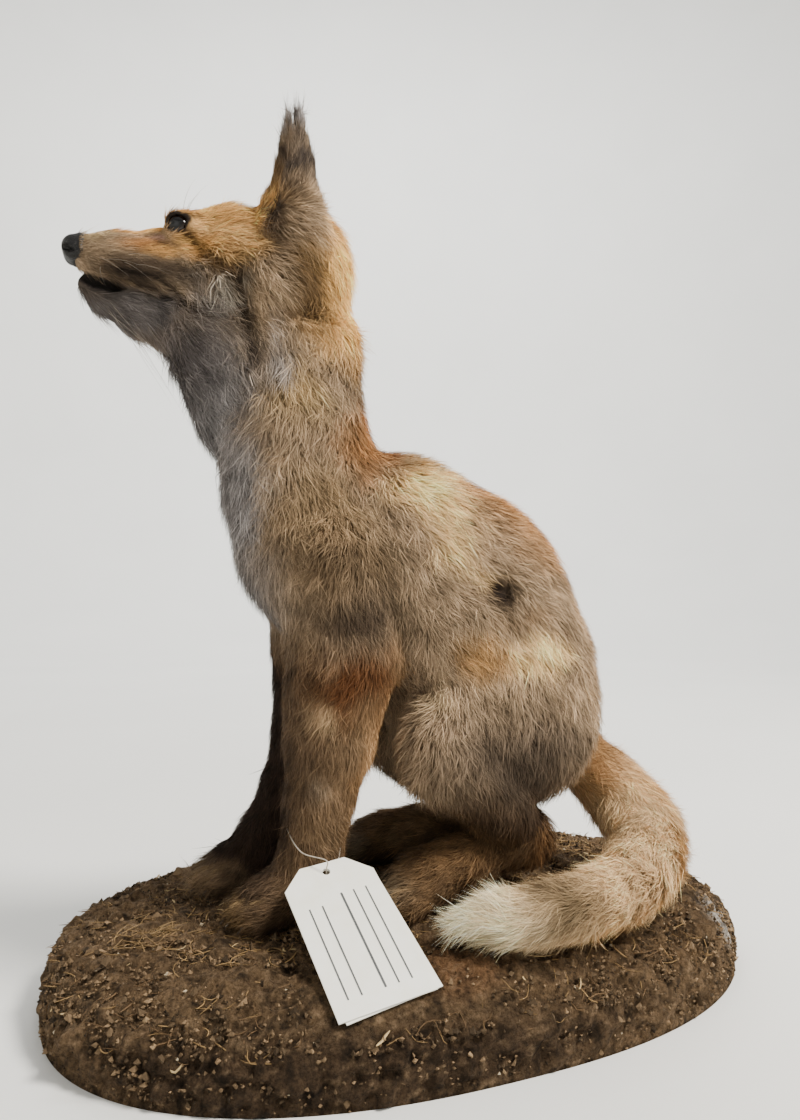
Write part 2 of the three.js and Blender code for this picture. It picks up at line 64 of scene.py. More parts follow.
GROUND = 38.0  # the earth's top
SEED = 7
MM = 0.001
TURN = 6.283  # a whole turn, in radians
COLOURS = "Coat"  # the colour attribute of every coloured piece
LOCK_PATCH = 0.003  # side of a lock's own patch in the unwrap
CLUMPS = ((6.5, 0.34, 0.46), (2.6, 0.40, 0.62))  # size, how far tips gather, how far shades part
TOES = (-1.5, -0.5, 0.5, 1.5)  # places across a paw, in widths of a toe


# ---- small helpers
def unit(vectors: Array) -> Array:
    """Scale each row to length one."""
    return vectors / np.maximum(np.linalg.norm(vectors, axis=-1, keepdims=True), 1e-9)


def smoothstep(low: float, high: float, value: Array) -> Array:
    """Ease from 0 to 1 between two limits."""
    t = np.clip((value - low) / (high - low), 0.0, 1.0)
    return t * t * (3.0 - 2.0 * t)


def srgb(red: float, green: float, blue: float) -> Array:
    """Turn an 8-bit sRGB colour into linear light."""
    c = np.array([red, green, blue], float) / 255.0
    return np.where(c <= 0.04045, c / 12.92, ((c + 0.055) / 1.055) ** 2.4)


def mixed(tones: Array, colour: Array, share: Array) -> Array:
    """Move each tone towards a colour by its own share."""
    return tones + share[:, None] * (colour - tones)


def mirrored(points: Array) -> Array:
    """Bring points of the right side over to the left."""
    return np.column_stack([np.abs(points[:, 0]), points[:, 1:]])


def melted(a: Array, b: Array, soft: float) -> Array:
    """Unite two fields of distance with a soft fillet."""
    near = np.maximum(soft - np.abs(a - b), 0.0) / soft
    return np.minimum(a, b) - near * near * soft / 4.0


def turned(x: Array, y: Array, degrees: float) -> tuple[Array, Array]:
    """Turn places in a plane about its origin, from X towards Y."""
    t = math.radians(degrees)
    return x * math.cos(t) - y * math.sin(t), x * math.sin(t) + y * math.cos(t)


def repeated(faces: Sequence[tuple[int, int, int]], count: int, corners: int) -> Array:
    """Number the faces of one small form for many that lie one after another."""
    return (np.array(faces)[None] + (np.arange(count) * corners)[:, None, None]).reshape(-1, 3)


def hashed(cells: Array, salt: int) -> Array:
    """Give each integer cell a repeatable random number.

    Args:
        cells: Rows of integer coordinates.
        salt: Chooses one of many independent hashes.

    Returns:
        Numbers from 0 to 1.
    """
    c = cells.astype(np.int64)
    h = c[..., 0] * 374761393 + c[..., 1] * 668265263 + c[..., 2] * 2147483647 + salt * 974634777
    h = (h ^ (h >> 13)) * 1274126177
    h = h ^ (h >> 16)
    return (h & 0xFFFFFF).astype(float) / float(0xFFFFFF)


def noise(points: Array, scale: float, salt: int = 0) -> Array:
    """Smooth value noise.

    Args:
        points: Where to read it.
        scale: Size of its features in the points' unit.
        salt: Chooses one of many independent fields.

    Returns:
        Values from -1 to 1.
    """
    q = points / scale
    base = np.floor(q)
    f = q - base
    f = f * f * (3.0 - 2.0 * f)
    total = np.zeros(len(points))
    for corner in np.ndindex(2, 2, 2):
        c = np.array(corner)
        w = np.prod(np.where(c == 1, f, 1.0 - f), axis=1)
        total += w * hashed(base + c, salt)
    return total * 2.0 - 1.0


def nearest_seed(points: Array, size: float, salt: int) -> Array:
    """Find the nearest point of a jittered lattice, which gathers points into clumps.

    Args:
        points: The points to gather.
        size: The lattice's spacing.
        salt: Chooses one of many lattices.

    Returns:
        The nearest lattice point of each.
    """
    base = np.floor(points / size)
    best = np.full(len(points), 1e18)
    found = points.copy()
    for step in np.ndindex(3, 3, 3):
        cell = base + np.array(step) - 1.0
        jitter = np.stack([hashed(cell, salt + n) for n in range(3)], axis=1)
        seed = (cell + 0.15 + 0.7 * jitter) * size
        d = ((points - seed) ** 2).sum(axis=1)
        nearer = d < best
        best[nearer] = d[nearer]
        found[nearer] = seed[nearer]
    return found


# ---- the body's field
@dataclass(frozen=True)
class Bone:
    """A swept bone of the body with the coat's outer radius at each end.

    Args:
        a: One end.
        b: The other end.
        ra: Radius at a.
        rb: Radius at b.
        wide: Width across the body as a share of depth.
        blend: How softly it melts into what came before.
        both: Whether it stands on both sides of the body.
        coat: Depth of the coat on it.
        lie: Which way the hair runs, or None to run from a to b.
    """

    a: Vec3
    b: Vec3
    ra: float
    rb: float
    wide: float = 1.0
    blend: float = 12.0
    both: bool = False
    coat: float = 8.0
    lie: Vec3 | None = None

    def distance(self, points: Array) -> Array:
        """Measure how far points are from the bone's surface.

        Args:
            points: The points.

        Returns:
            Signed distances, negative inside.
        """
        p = mirrored(points) if self.both else points
        a = np.array(self.a)
        ab = np.array(self.b) - a
        size2 = max(float(ab @ ab), 1e-9)
        t = np.clip((p - a) @ ab / size2, 0.0, 1.0)
        off = p - a - t[:, None] * ab
        radius = self.ra + (self.rb - self.ra) * t
        if self.wide == 1.0:
            return np.sqrt((off**2).sum(axis=1)) - radius
        side = np.array([1.0, 0.0, 0.0]) - ab * ab[0] / size2
        side /= np.linalg.norm(side)
        out = off @ side
        rest2 = np.maximum((off**2).sum(axis=1) - out**2, 0.0)
        reach = np.maximum(np.sqrt(rest2 + (out / self.wide) ** 2), 1e-6)
        lean = (out / self.wide / reach) ** 2
        return (reach - radius) / np.sqrt(1.0 + lean * (1.0 / self.wide**2 - 1.0))

    def hair(self) -> Array:
        """Say which way the hair runs."""
        way = np.array(self.lie) if self.lie else np.array(self.b) - np.array(self.a)
        return way / np.linalg.norm(way)


def chain(stations: Sequence[tuple[Vec3, float]], **options: object) -> list[Bone]:
    """String bones through stations.

    Args:
        stations: Points, each with its radius.
        **options: What every bone shares.

    Returns:
        The bones.
    """
    return [
        Bone(a, b, ra, rb, **options)  # type: ignore[arg-type]
        for (a, ra), (b, rb) in zip(stations[:-1], stations[1:])
    ]


def catmull(four: Array, t: float) -> Array:
    """Read a smooth curve between the middle two of four rows."""
    a, b, c, d = four
    return 0.5 * (2 * b + (c - a) * t + (2 * a - 5 * b + 4 * c - d) * t**2 + (3 * b - a - 3 * c + d) * t**3)


def eased(stations: Sequence[tuple[Vec3, float]], steps: int) -> list[tuple[Vec3, float]]:
    """Put more stations on a smooth curve through the given ones.

    Args:
        stations: Points, each with its radius.
        steps: New stations for each given one.

    Returns:
        The stations.
    """
    rows = np.array([(*point, radius) for point, radius in stations])
    rows = np.concatenate([2 * rows[:1] - rows[1:2], rows, 2 * rows[-1:] - rows[-2:-1]])
    made = [
        catmull(rows[n : n + 4], step / steps) for n in range(len(rows) - 3) for step in range(steps)
    ]
    return [((x, y, z), radius) for x, y, z, radius in np.array([*made, rows[-2]]).tolist()]


@dataclass(frozen=True)
class Paw:
    """A paw with four spread toes.

    Args:
        x: Where its ball stands.
        y: Where its ball stands.
        heading: Degrees out from straight ahead.
        reach: How far the middle toes reach from the ball.
        toe: Radius of a toe's end.
        coat: Depth of the coat.
        height: Height of the ball.
    """

    x: float
    y: float
    heading: float
    reach: float
    toe: float
    coat: float
    height: float = 13.0

    def ahead(self) -> Array:
        """Give the way that the paw points."""
        turn = math.radians(self.heading)
        return np.array([math.sin(turn), -math.cos(turn), 0.0])

    def at(self, forward: float, side: float, up: float) -> Vec3:
        """Place a point of the paw.

        Args:
            forward: How far ahead of the ball.
            side: How far to the left of it.
            up: Height over the ground.

        Returns:
            The point.
        """
        ahead = self.ahead()
        across = np.array([-ahead[1], ahead[0], 0.0])
        p = np.array([self.x, self.y, GROUND + up]) + ahead * forward + across * side
        return (float(p[0]), float(p[1]), float(p[2]))

    def ends(self, up: float, more: float = 0.0) -> list[Vec3]:
        """Give the toes' ends."""
        return [self.at(self.reach - 2.2 * n * n + more, n * 8.0, up) for n in TOES]

    def bones(self) -> list[Bone]:
        """Give the bone of the ball, and one for each toe.

        Returns:
            The bones.
        """
        ahead, high, toe = self.ahead(), self.height, self.toe
        lie = (float(ahead[0]), float(ahead[1]), -0.35)
        made = [
            Bone(self.at(-4, 0, high), self.at(5, 0, high - 1), high + 2, high + 1,
                 blend=10, coat=self.coat, lie=lie)
        ]
        for n, end in zip(TOES, self.ends(toe + 0.6, -0.5)):
            knuckle = self.at(3, n * 5.6, high - 2)
            made.append(Bone(knuckle, end, toe + 2.2, toe + 1.2, blend=2.2, coat=self.coat, lie=lie))
        return made


class Limb(Enum):
    """The part of the body that a point of skin belongs to."""

    TORSO = 0
    HAUNCH = 1
    FORELEG_LEFT = 2
    FORELEG_RIGHT = 3
    HINDLEG_LEFT = 4
    HINDLEG_RIGHT = 5
    TAIL = 6


PAWS = {
    Limb.FORELEG_LEFT: Paw(27.5, -73, 4, 18, 7.6, 2.2),
    Limb.FORELEG_RIGHT: Paw(-29, -84, 6, 18, 7.6, 2.2),
    Limb.HINDLEG_LEFT: Paw(33, -5, 12, 19, 8, 2.4),
    Limb.HINDLEG_RIGHT: Paw(-46, -2, -24, 19, 8, 2.4),
}


@dataclass
class Sample:
    """What the body's field says at some points.

    Args:
        distance: Distance from the coat's outer surface.
        coat: Depth of the coat.
        lie: Direction of the hair, not yet laid on the skin.
        limb: Number of the limb, as in Limb.
    """

    distance: Array
    coat: Array
    lie: Array
    limb: Array


@dataclass
class BodyField:
    """The whole body as bones that melt together.

    Args:
        torso: Chest to rump.
        head: Neck, skull, muzzle and jaw.
        limbs: The bones of each limb.
    """

    torso: list[Bone]
    head: list[Bone]
    limbs: dict[Limb, list[Bone]]

    @classmethod
    def fox(cls) -> BodyField:
        """Lay out the fox.

        Returns:
            The field.
        """
        torso = [
            Bone((0, -42, 224), (0, -22, 214), 54, 58, 0.78, coat=8, lie=(0, 0.25, -1)),
            Bone((0, -2, 208), (0, 20, 196), 61, 63, 0.74, 20, coat=7, lie=(0, 0.75, -0.75)),
            Bone((0, 34, 178), (0, 45, 150), 63, 60, 0.8, 20, coat=7, lie=(0, 0.5, -0.9)),
            Bone((0, 50, 148), (0, 55, 136), 58, 55, 0.84, 20, coat=7.5, lie=(0, 0.1, -1)),
        ]
        neck = chain(
            [((0, -68, 356), 36), ((0, -67, 322), 38), ((0, -67, 290), 40), ((0, -60, 256), 44)],
            wide=0.87, blend=14, coat=8.5, lie=(0, 0.12, -1),
        )
        skull = [
            Bone((0, -66, 370), (0, -90, 366), 32.5, 27, blend=14, coat=5, lie=(0, 1, -0.35)),
            Bone((0, -98, 367), (0, -110, 364), 24, 22, blend=12, coat=2.4, lie=(0, 1, 0.1)),
            Bone((12.5, -112, 378), (15, -100, 379), 8, 8.5, 1, 10, True, 2.0, (0, 1, 0.15)),
            Bone((19, -100, 352), (25, -82, 350), 19, 21, 1, 14, True, 5.5, (0, 0.8, -0.7)),
            Bone((0, -108, 334), (0, -90, 318), 25, 30, 1, 16, False, 6, (0, 0.55, -0.85)),
            Bone((0, -111, 322), (0, -96, 290), 19, 20, 1, 14, False, 6.5, (0, 0.5, -0.88)),
            Bone((32, -105, 346), (36.5, -98, 306), 7.0, 4.5, 1, 8, True, 8, (0, 0.1, -1)),
        ]
        muzzle = chain(
            [((0, -114, 361), 18), ((0, -132, 361.5), 15.5), ((0, -152, 361.5), 12.4),
             ((0, -168.5, 363), 9.0)],
            wide=0.92, blend=7, coat=1.0, lie=(0, 1, 0.02),
        )
        lips = [
            Bone((6.4, -161, 357.2), (9.6, -140, 353.2), 4.6, 6.2, 1, 4, True, 1.0, (0, 1, -0.25)),
            Bone((9.6, -140, 353.2), (14, -118, 346.5), 6.2, 8.4, 1, 5, True, 1.8, (0, 1, -0.35)),
        ]
        jaw = chain(
            [((0, -108, 334), 21), ((0, -124, 332), 17)],
            wide=0.86, blend=6, coat=4.6, lie=(0, 0.8, -0.7),
        ) + chain(
            [((0, -124, 332), 17), ((0, -142, 337), 12.6)],
            wide=0.86, blend=6, coat=2.8, lie=(0, 1, -0.5),
        ) + chain(
            [((0, -142, 337), 12.6), ((0, -157, 342.8), 9), ((0, -165.0, 347.2), 6.2)],
            wide=0.86, blend=5, coat=1.5, lie=(0, 1, -0.4),
        )
        foreleg_left = chain(
            [((28, -52, 212), 25), ((28, -44, 165), 24), ((28, -47.5, 144), 21.5),
             ((28, -50, 122), 19), ((27.5, -55, 96), 15), ((26.5, -59, 70), 13),
             ((27, -64, 56), 13)],
            blend=16, coat=3.9, lie=(0, -0.08, -1),
        )
        foreleg_right = chain(
            [((-28, -52, 212), 25), ((-28, -42, 165), 24), ((-28, -45, 140), 20),
             ((-28, -49, 116), 17.5), ((-28, -58, 90), 14.5), ((-28, -70, 66), 13.5),
             ((-28, -76, 56), 13)],
            blend=16, coat=3.9, lie=(0, -0.15, -1),
        )
        haunch = [
            Bone((26, 58, 126), (34, 16, 121), 42, 34, 0.62, 14, True, 7, (0, -0.35, -0.95)),
        ]
        hindleg_left = chain(
            [((36, 8, 112), 22), ((30, 38, 88), 19), ((23, 58, 67), 14.5)],
            blend=10, coat=5, lie=(0, 0.3, -1),
        ) + chain([((23, 58, 67), 14.5), ((29, 20, 57), 14), ((32, 2, 54), 14)], blend=10, coat=3.6)
        hindleg_right = chain(
            [((-36, 8, 112), 22), ((-30, 38, 88), 19), ((-25, 58, 67), 14.5)],
            blend=10, coat=5, lie=(0, 0.3, -1),
        ) + chain(
            [((-25, 58, 67), 14.5), ((-38, 20, 56), 13.5), ((-43, 4, 53), 13.5)], blend=10, coat=3.6
        )
        stations = eased(
            [((0, 78, 120), 20), ((2, 100, 104), 19), ((10, 118, 86), 20), ((30, 124, 70), 21.5),
             ((56, 112, 62), 20), ((78, 88, 57.5), 17.5), ((90, 62, 55), 15.5), ((94, 38, 54), 14.5),
             ((92, 17, 53), 13), ((85, 2, 51), 8.5), ((80, -5, 49), 3)],
            3,
        )
        tail = chain(stations[:4], blend=10, coat=6.6) + chain(stations[3:], blend=3, coat=6.6)
        limbs = {
            Limb.HAUNCH: haunch,
            Limb.FORELEG_LEFT: foreleg_left,
            Limb.FORELEG_RIGHT: foreleg_right,
            Limb.HINDLEG_LEFT: haunch + hindleg_left,
            Limb.HINDLEG_RIGHT: haunch + hindleg_right,
            Limb.TAIL: tail,
        }
        for limb, paw in PAWS.items():
            limbs[limb] = limbs[limb] + paw.bones()
        return cls(torso, neck + skull + muzzle + lips + jaw, limbs)

    def _melt(self, bones: list[Bone], p: Array, start: Sample) -> Sample:
        """Melt bones one after another into what is there.

        Args:
            bones: The bones.
            p: The points.
            start: What is there before them.

        Returns:
            The field with the bones in it.
        """
        value = start.distance.copy()
        coat = start.coat.copy()
        lie = start.lie.copy()
        for bone in bones:
            d = bone.distance(p)
            reach = bone.blend * 1.3 + 4.0  # the hair changes over a wider strip than the form
            share = smoothstep(-reach, reach, value - d)
            value = melted(d, value, bone.blend)
            coat += share * (bone.coat - coat)
            lie += share[:, None] * (bone.hair() - lie)
        return Sample(value, coat, lie, start.limb)

    def sample(self, p: Array, limbs: bool = True) -> Sample:
        """Read the field.

        Args:
            p: The points.
            limbs: Whether the limbs count.

        Returns:
            What it says there.
        """
        n = len(p)
        start = Sample(np.full(n, 1e3), np.full(n, 8.0), np.zeros((n, 3)), np.zeros(n, int))
        core = self._melt(self.torso + self.head, p, start)
        if not limbs:
            return self._ears(p, core)
        best = Sample(core.distance.copy(), core.coat.copy(), core.lie.copy(), core.limb.copy())
        for limb, bones in self.limbs.items():
            made = self._melt(bones, p, core)
            nearer = made.distance < best.distance - 0.05
            for name in ("distance", "coat", "lie"):
                getattr(best, name)[nearer] = getattr(made, name)[nearer]
            best.limb[nearer] = limb.value
        return self._ears(p, best)

    def _ears(self, p: Array, made: Sample) -> Sample:
        """Give the ears a short coat that runs up to their tips, and shorten it round the eyes.

        Args:
            p: The points.
            made: What the field says there.

        Returns:
            The same with the change.
        """
        lids = 1.0 - smoothstep(7.5, 14.0, EYE.opening(p)[1])
        made.coat += lids * (0.9 - made.coat)
        for side in (1.0, -1.0):
            near = 1.0 - smoothstep(0.5, 6.0, Ear(side).outer(p))
            near *= smoothstep(376, 398, p[:, 2])
            made.coat += near * (1.3 - made.coat)
            made.lie += near[:, None] * (np.array([0.0, 0.15, 1.0]) - made.lie)
        return made


# ---- the skin's relief
@dataclass(frozen=True)
class EyeSocket:
    """One eye: where it sits, which way it looks and how its lids open.

    Args:
        centre: Centre of the eyeball on the left side.
        radius: Radius of the eyeball.
        looks: Which way the left eye looks.
        half_length: Half the opening from corner to corner.
        half_height: Half the opening between the lids.
    """

    centre: Vec3 = (14.0, -122.5, 375.0)
    radius: float = 6.3
    looks: Vec3 = (0.93, -0.34, 0.16)
    half_length: float = 4.9
    half_height: float = 4.4

    def axes(self) -> tuple[Array, Array, Array]:
        """Give the eye's own axes on the left side.

        Returns:
            Out of the eye, along the opening towards the nose, and up.
        """
        out = np.array(self.looks) / np.linalg.norm(self.looks)
        nose = np.array([0.0, -0.95, -0.28])
        nose -= out * (nose @ out)
        nose /= np.linalg.norm(nose)
        return out, nose, np.cross(nose, out)

    def opening(self, p: Array) -> tuple[Array, Array]:
        """Measure points against the almond opening, on either side of the head.

        Args:
            p: The points.

        Returns:
            Distance from the opening's edge, negative inside, and distance from the eye's centre.
        """
        q = mirrored(p) - np.array(self.centre)
        out, nose, up = self.axes()
        u, v, w = q @ nose, q @ up, q @ out
        pinch = 1.0 - 0.22 * np.clip(np.abs(u) / self.half_length, 0.0, 1.0) ** 2
        shape = np.sqrt((u / self.half_length) ** 2 + (v / (self.half_height * pinch)) ** 2)
        edge = (shape - 1.0) * self.half_height
        return np.where(w > 0.0, edge, 50.0), np.sqrt((q**2).sum(axis=1))


@dataclass(frozen=True)
class Crease:
    """A fold pressed into the skin on both sides of the head.

    Args:
        path: The points that it runs through, on the left side.
        width: How far its sides reach.
        depth: How deep it is.
        colour: The linear colour that darkens it: painted shade in the fold, and by the lips partly the
            lips' own dark skin.
    """

    path: tuple[Vec3, ...]
    width: float
    depth: float
    colour: Array

    def share(self, p: Array) -> Array:
        """Say how near points are to the fold.

        Args:
            p: The points.

        Returns:
            Shares from 0 to 1.
        """
        flat = p * np.array([0.0, 1.0, 1.0])
        best = np.full(len(p), 1e3)
        for (_, y0, z0), (_, y1, z1) in zip(self.path[:-1], self.path[1:]):
            best = np.minimum(best, Bone((0, y0, z0), (0, y1, z1), 0.0, 0.0).distance(flat))
        return np.exp(-((best / self.width) ** 2)) * smoothstep(6.0, 10.0, np.abs(p[:, 0]))


# Each colour lays painted shade in its fold: behind the eye, behind the ruff as its shadow, and in the
# three lines by the lips, which are partly the lips' own dark skin too.
CREASES = (
    Crease(((20, -121, 371), (26, -109, 358), (35, -99, 348)), 3.2, 1.4, srgb(46, 28, 15)),
    Crease(((37, -97, 352), (39, -93.0, 332), (37, -89, 312)), 3.4, 3.4, srgb(56, 48, 44)),
    Crease(((10, -152, 353), (14.5, -134, 349.4), (23, -111, 335)), 1.1, 0.9, srgb(36, 30, 26)),
    Crease(((10, -158, 350), (14.5, -136, 346.0), (23, -113, 332)), 0.8, 0.5, srgb(50, 42, 36)),
    Crease(((8, -148, 344.9), (12, -132, 341.4), (20, -114, 336.4)), 0.8, 0.9, srgb(30, 25, 22)),
)
EYE = EyeSocket()
DENT = (44.0, 33.0, 199.5)  # the pinched fold in the left flank
EAR_BACK = 8.0  # how far the right ear stands behind the left


@dataclass(frozen=True)
class Ear:
    """A tall shrunken ear: an outer cone with a cup carved out of its front.

    Args:
        side: 1 for the left ear, -1 for the right.
    """

    side: float

    def _place(self, points: Array) -> Array:
        """Bring points of this ear to where the left one stands."""
        back = 0.0 if self.side > 0 else EAR_BACK
        return points * np.array([self.side, 1.0, 1.0]) - np.array([0.0, back, 0.0])

    def outer(self, points: Array) -> Array:
        """Measure distance from the ear's outside.

        Args:
            points: The points.

        Returns:
            Signed distances.
        """
        q = self._place(points)
        root, tip = chain([((24, -69, 378), 14.5), ((25, -68, 408), 9.8), ((25.5, -68.5, 431), 4.4)])
        d = np.minimum(root.distance(q), tip.distance(q))
        if self.side > 0:
            above = q[:, 2] - 420.0
            notch = np.abs(q[:, 1] + 68.0 + 0.1 * above) - 0.17 * above
            d = np.maximum(d, -notch)
        return d + 0.8 * noise(q, 5.0, 31) * smoothstep(395, 425, q[:, 2])

    def cup(self, points: Array) -> Array:
        """Measure distance from the hollow of the ear.

        Args:
            points: The points.

        Returns:
            Signed distances.
        """
        q = self._place(points)
        low, high = chain([((29, -82, 386), 6.6), ((28.4, -78, 408), 7.4), ((26.6, -74.5, 432), 3)])
        return np.minimum(low.distance(q), high.distance(q))


class Mouth:
    """The gap between the lips, as heights along the muzzle."""

    @staticmethod
    def upper(y: Array) -> Array:
        """Give the height of the upper lip's edge."""
        places = [-172, -155, -145, -130, -112]
        return np.interp(y, places, [353.0, 348.4, 344.8, 341.2, 336.2])

    @staticmethod
    def gap(p: Array) -> Array:
        """Say how far points are outside the lips' heights."""
        return np.maximum(p[:, 2] - Mouth.upper(p[:, 1]), Mouth.lower(p[:, 1]) - p[:, 2])

    @staticmethod
    def lower(y: Array) -> Array:
        """Give the height of the lower lip's edge."""
        places = [-172, -168, -162, -154, -149.5, -145, -112]
        return np.interp(y, places, [350.6, 348.4, 344.6, 342.4, 343.6, 345.6, 340.0])


@dataclass
class SkinField:
    """The skin: the body's field drawn in by the coat's depth, with its openings.

    Args:
        body: The body's field.
    """

    body: BodyField

    def distance(self, p: Array, head: bool) -> Array:
        """Measure distance from the skin.

        Args:
            p: The points.
            head: Whether to carve the face and ears, and leave out the limbs.

        Returns:
            Signed distances, negative inside.
        """
        s = self.body.sample(p, limbs=not head)
        d = s.distance + s.coat
        dent = ((p - np.array(DENT)) / np.array([9.0, 7.0, 4.5])) ** 2
        d = d + 4.5 * np.exp(-1.2 * dent.sum(axis=1))
        if head:
            d = self._face(p, d)
        return d

    def _face(self, p: Array, d: Array) -> Array:
        """Add the ears and carve the mouth, the folds, the muzzle's flat front and the eyes.

        Args:
            p: The points.
            d: Their distances from the plain head.

        Returns:
            Their distances from the carved one.
        """
        for side in (1.0, -1.0):
            ear = Ear(side)
            d = np.maximum(melted(ear.outer(p), d, 9.0), -ear.cup(p))
        # mouth: a thin wedge between the upper lip and the jaw, open in front
        slit = np.maximum(Mouth.gap(p), 1.6 - np.abs(p[:, 0]))
        d = np.maximum(d, -np.maximum(slit, -(d + 3.6)))
        for crease in CREASES:
            d = d + crease.depth * crease.share(p)
        front = -171.3 - p[:, 1]
        d = np.where(p[:, 2] > Mouth.upper(p[:, 1]), -melted(-front, -d, 2.0), d)
        # eyes: a bulge of lid over the ball, and the opening cut through it
        edge, reach = EYE.opening(p)
        brow = smoothstep(EYE.centre[2] + 1.0, EYE.centre[2] + 4.5, p[:, 2])
        d = melted(reach - (EYE.radius + 1.0 + 0.8 * brow), d, 4.0)
        cut = np.maximum(edge, EYE.radius - 2.0 - reach)
        ball = reach - (EYE.radius + 0.12)
        return np.maximum(-melted(-d, cut, 0.9), -ball)


# ---- meshing
def surface_nets(values: Array, low: Array, cell: float) -> tuple[Array, Array]:
    """Mesh the zero level of a grid of values.

    Args:
        values: Signed values on a grid.
        low: The grid's lowest corner.
        cell: The grid's spacing.

    Returns:
        Vertices and quads whose normals point to positive values.
    """
    inside = values < 0.0
    a, b, c = (size - 1 for size in inside.shape)
    corners = sum(
        inside[i : a + i, j : b + j, k : c + k].astype(np.int8) for i, j, k in np.ndindex(2, 2, 2)
    )
    active = (corners > 0) & (corners < 8)
    where = np.argwhere(active)
    index = np.full(active.shape, -1, np.int64)
    index[active] = np.arange(len(where))
    total = np.zeros((len(where), 3))
    count = np.zeros(len(where))
    for axis in range(3):
        others = [n for n in range(3) if n != axis]
        for u, v in np.ndindex(2, 2):
            start = np.zeros(3, int)
            start[others[0]], start[others[1]] = u, v
            end = start.copy()
            end[axis] = 1
            a = values[tuple((where + start).T)]
            b = values[tuple((where + end).T)]
            cross = (a < 0.0) != (b < 0.0)
            t = np.where(cross, a / np.where(cross, a - b, 1.0), 0.0)
            place = start + t[:, None] * (end - start)
            total += np.where(cross[:, None], place, 0.0)
            count += cross
    verts = low + cell * (where + total / count[:, None])
    quads = []
    for axis in range(3):
        u, v = (axis + 1) % 3, (axis + 2) % 3
        first = np.take(inside, range(inside.shape[axis] - 1), axis)
        second = np.take(inside, range(1, inside.shape[axis]), axis)
        at = np.argwhere(first != second)
        at = at[(at[:, u] > 0) & (at[:, v] > 0)]
        at = at[(at[:, u] < inside.shape[u] - 1) & (at[:, v] < inside.shape[v] - 1)]
        du, dv = np.eye(3, dtype=int)[u], np.eye(3, dtype=int)[v]
        ring = np.stack([index[tuple((at - s).T)] for s in (0 * du, du, du + dv, dv)], axis=1)
        solid_first = first[tuple(at.T)]
        ring[~solid_first] = ring[~solid_first][:, ::-1]
        quads.append(ring)
    return verts, np.concatenate(quads)


def mesh_level(
    distance: Callable[[Array], Array], low: Array, high: Array, cell: float
) -> tuple[Array, Array]:
    """Mesh a field's zero level inside a box, and close it at the box's walls.

    Args:
        distance: The field.
        low: The box's lowest corner.
        high: The box's highest corner.
        cell: The mesh's spacing.

    Returns:
        Vertices on the level and quads.
    """

    def closed(p: Array) -> Array:
        """Measure distance from what the field holds inside the box."""
        walls = np.maximum(low + cell - p, p - high + cell).max(axis=1)
        return np.maximum(distance(p), walls)

    coarse = 4
    counts = (np.ceil((high - low) / cell / coarse).astype(int)) * coarse
    axes = [low[n] + cell * np.arange(0, counts[n] + 1, coarse) for n in range(3)]
    grid = np.stack(np.meshgrid(*axes, indexing="ij"), axis=-1)
    values = closed(grid.reshape(-1, 3)).reshape(grid.shape[:3])
    for n in range(3):
        values = np.repeat(values, coarse, axis=n)
    values = values[tuple(slice(0, counts[n] + 1) for n in range(3))].copy()
    near = np.abs(values) < cell * coarse * 1.9
    values[near] = closed(low + cell * np.argwhere(near))
    verts, quads = surface_nets(values, low, cell)
    step = cell * 0.05
    for _ in range(3):
        f = closed(verts)
        slope = np.stack(
            [(closed(verts + step * np.eye(3)[n]) - f) / step for n in range(3)], axis=1
        )
        size2 = np.maximum((slope**2).sum(axis=1), 0.2)
        move = np.clip(f, -0.5 * cell, 0.5 * cell) / size2
        verts = verts - np.clip(slope * move[:, None], -0.4 * cell, 0.4 * cell)
    return verts, quads


@dataclass
class Shape:
    """Loose geometry on its way to a mesh.

    Args:
        verts: Vertices in millimetres.
        faces: Faces of three or four corners, as rows.
        colours: A linear colour for each vertex, or None.
        uvs: A UV for each vertex, or None.
    """

    verts: Array
    faces: Array
    colours: Array | None = None
    uvs: Array | None = None

    def vertex_normals(self) -> Array:
        """Average the faces' normals at each vertex.

        Returns:
            Unit normals.
        """
        f = self.faces
        v = self.verts
        n = np.cross(v[f[:, 2]] - v[f[:, 0]], v[f[:, -1]] - v[f[:, 1]])
        total = np.zeros_like(v)
        for corner in range(f.shape[1]):
            np.add.at(total, f[:, corner], n)
        return unit(total)

    def to_object(self, name: str, finish: Finish, smooth: bool = True) -> Piece:
        """Make a Blender object of it.

        Args:
            name: The object's name.
            finish: What it is finished with.
            smooth: Whether its faces are shaded smooth.

        Returns:
            The object, linked to the scene.
        """
        mesh = bpy.data.meshes.new(name)
        corners = self.faces.shape[1]
        mesh.vertices.add(len(self.verts))
        mesh.vertices.foreach_set("co", (self.verts * MM).astype(np.float32).ravel())
        mesh.loops.add(self.faces.size)
        mesh.loops.foreach_set("vertex_index", self.faces.astype(np.int32).ravel())
        mesh.polygons.add(len(self.faces))
        mesh.polygons.foreach_set("loop_start", np.arange(0, self.faces.size, corners, dtype=np.int32))
        mesh.update(calc_edges=True)
        mesh.polygons.foreach_set("use_smooth", np.full(len(self.faces), smooth))
        if self.uvs is not None:
            layer = mesh.uv_layers.new(name="OFBake")
            layer.data.foreach_set("uv", self.uvs[self.faces.ravel()].astype(np.float32).ravel())
        if self.colours is not None:
            rgba = np.ones((len(self.verts), 4), np.float32)
            rgba[:, :3] = self.colours
            attribute = mesh.color_attributes.new(COLOURS, "FLOAT_COLOR", "POINT")
            attribute.data.foreach_set("color", rgba.ravel())
        mesh.materials.append(finish.material)
        made = bpy.data.objects.new(name, mesh)
        bpy.context.scene.collection.objects.link(made)
        return made


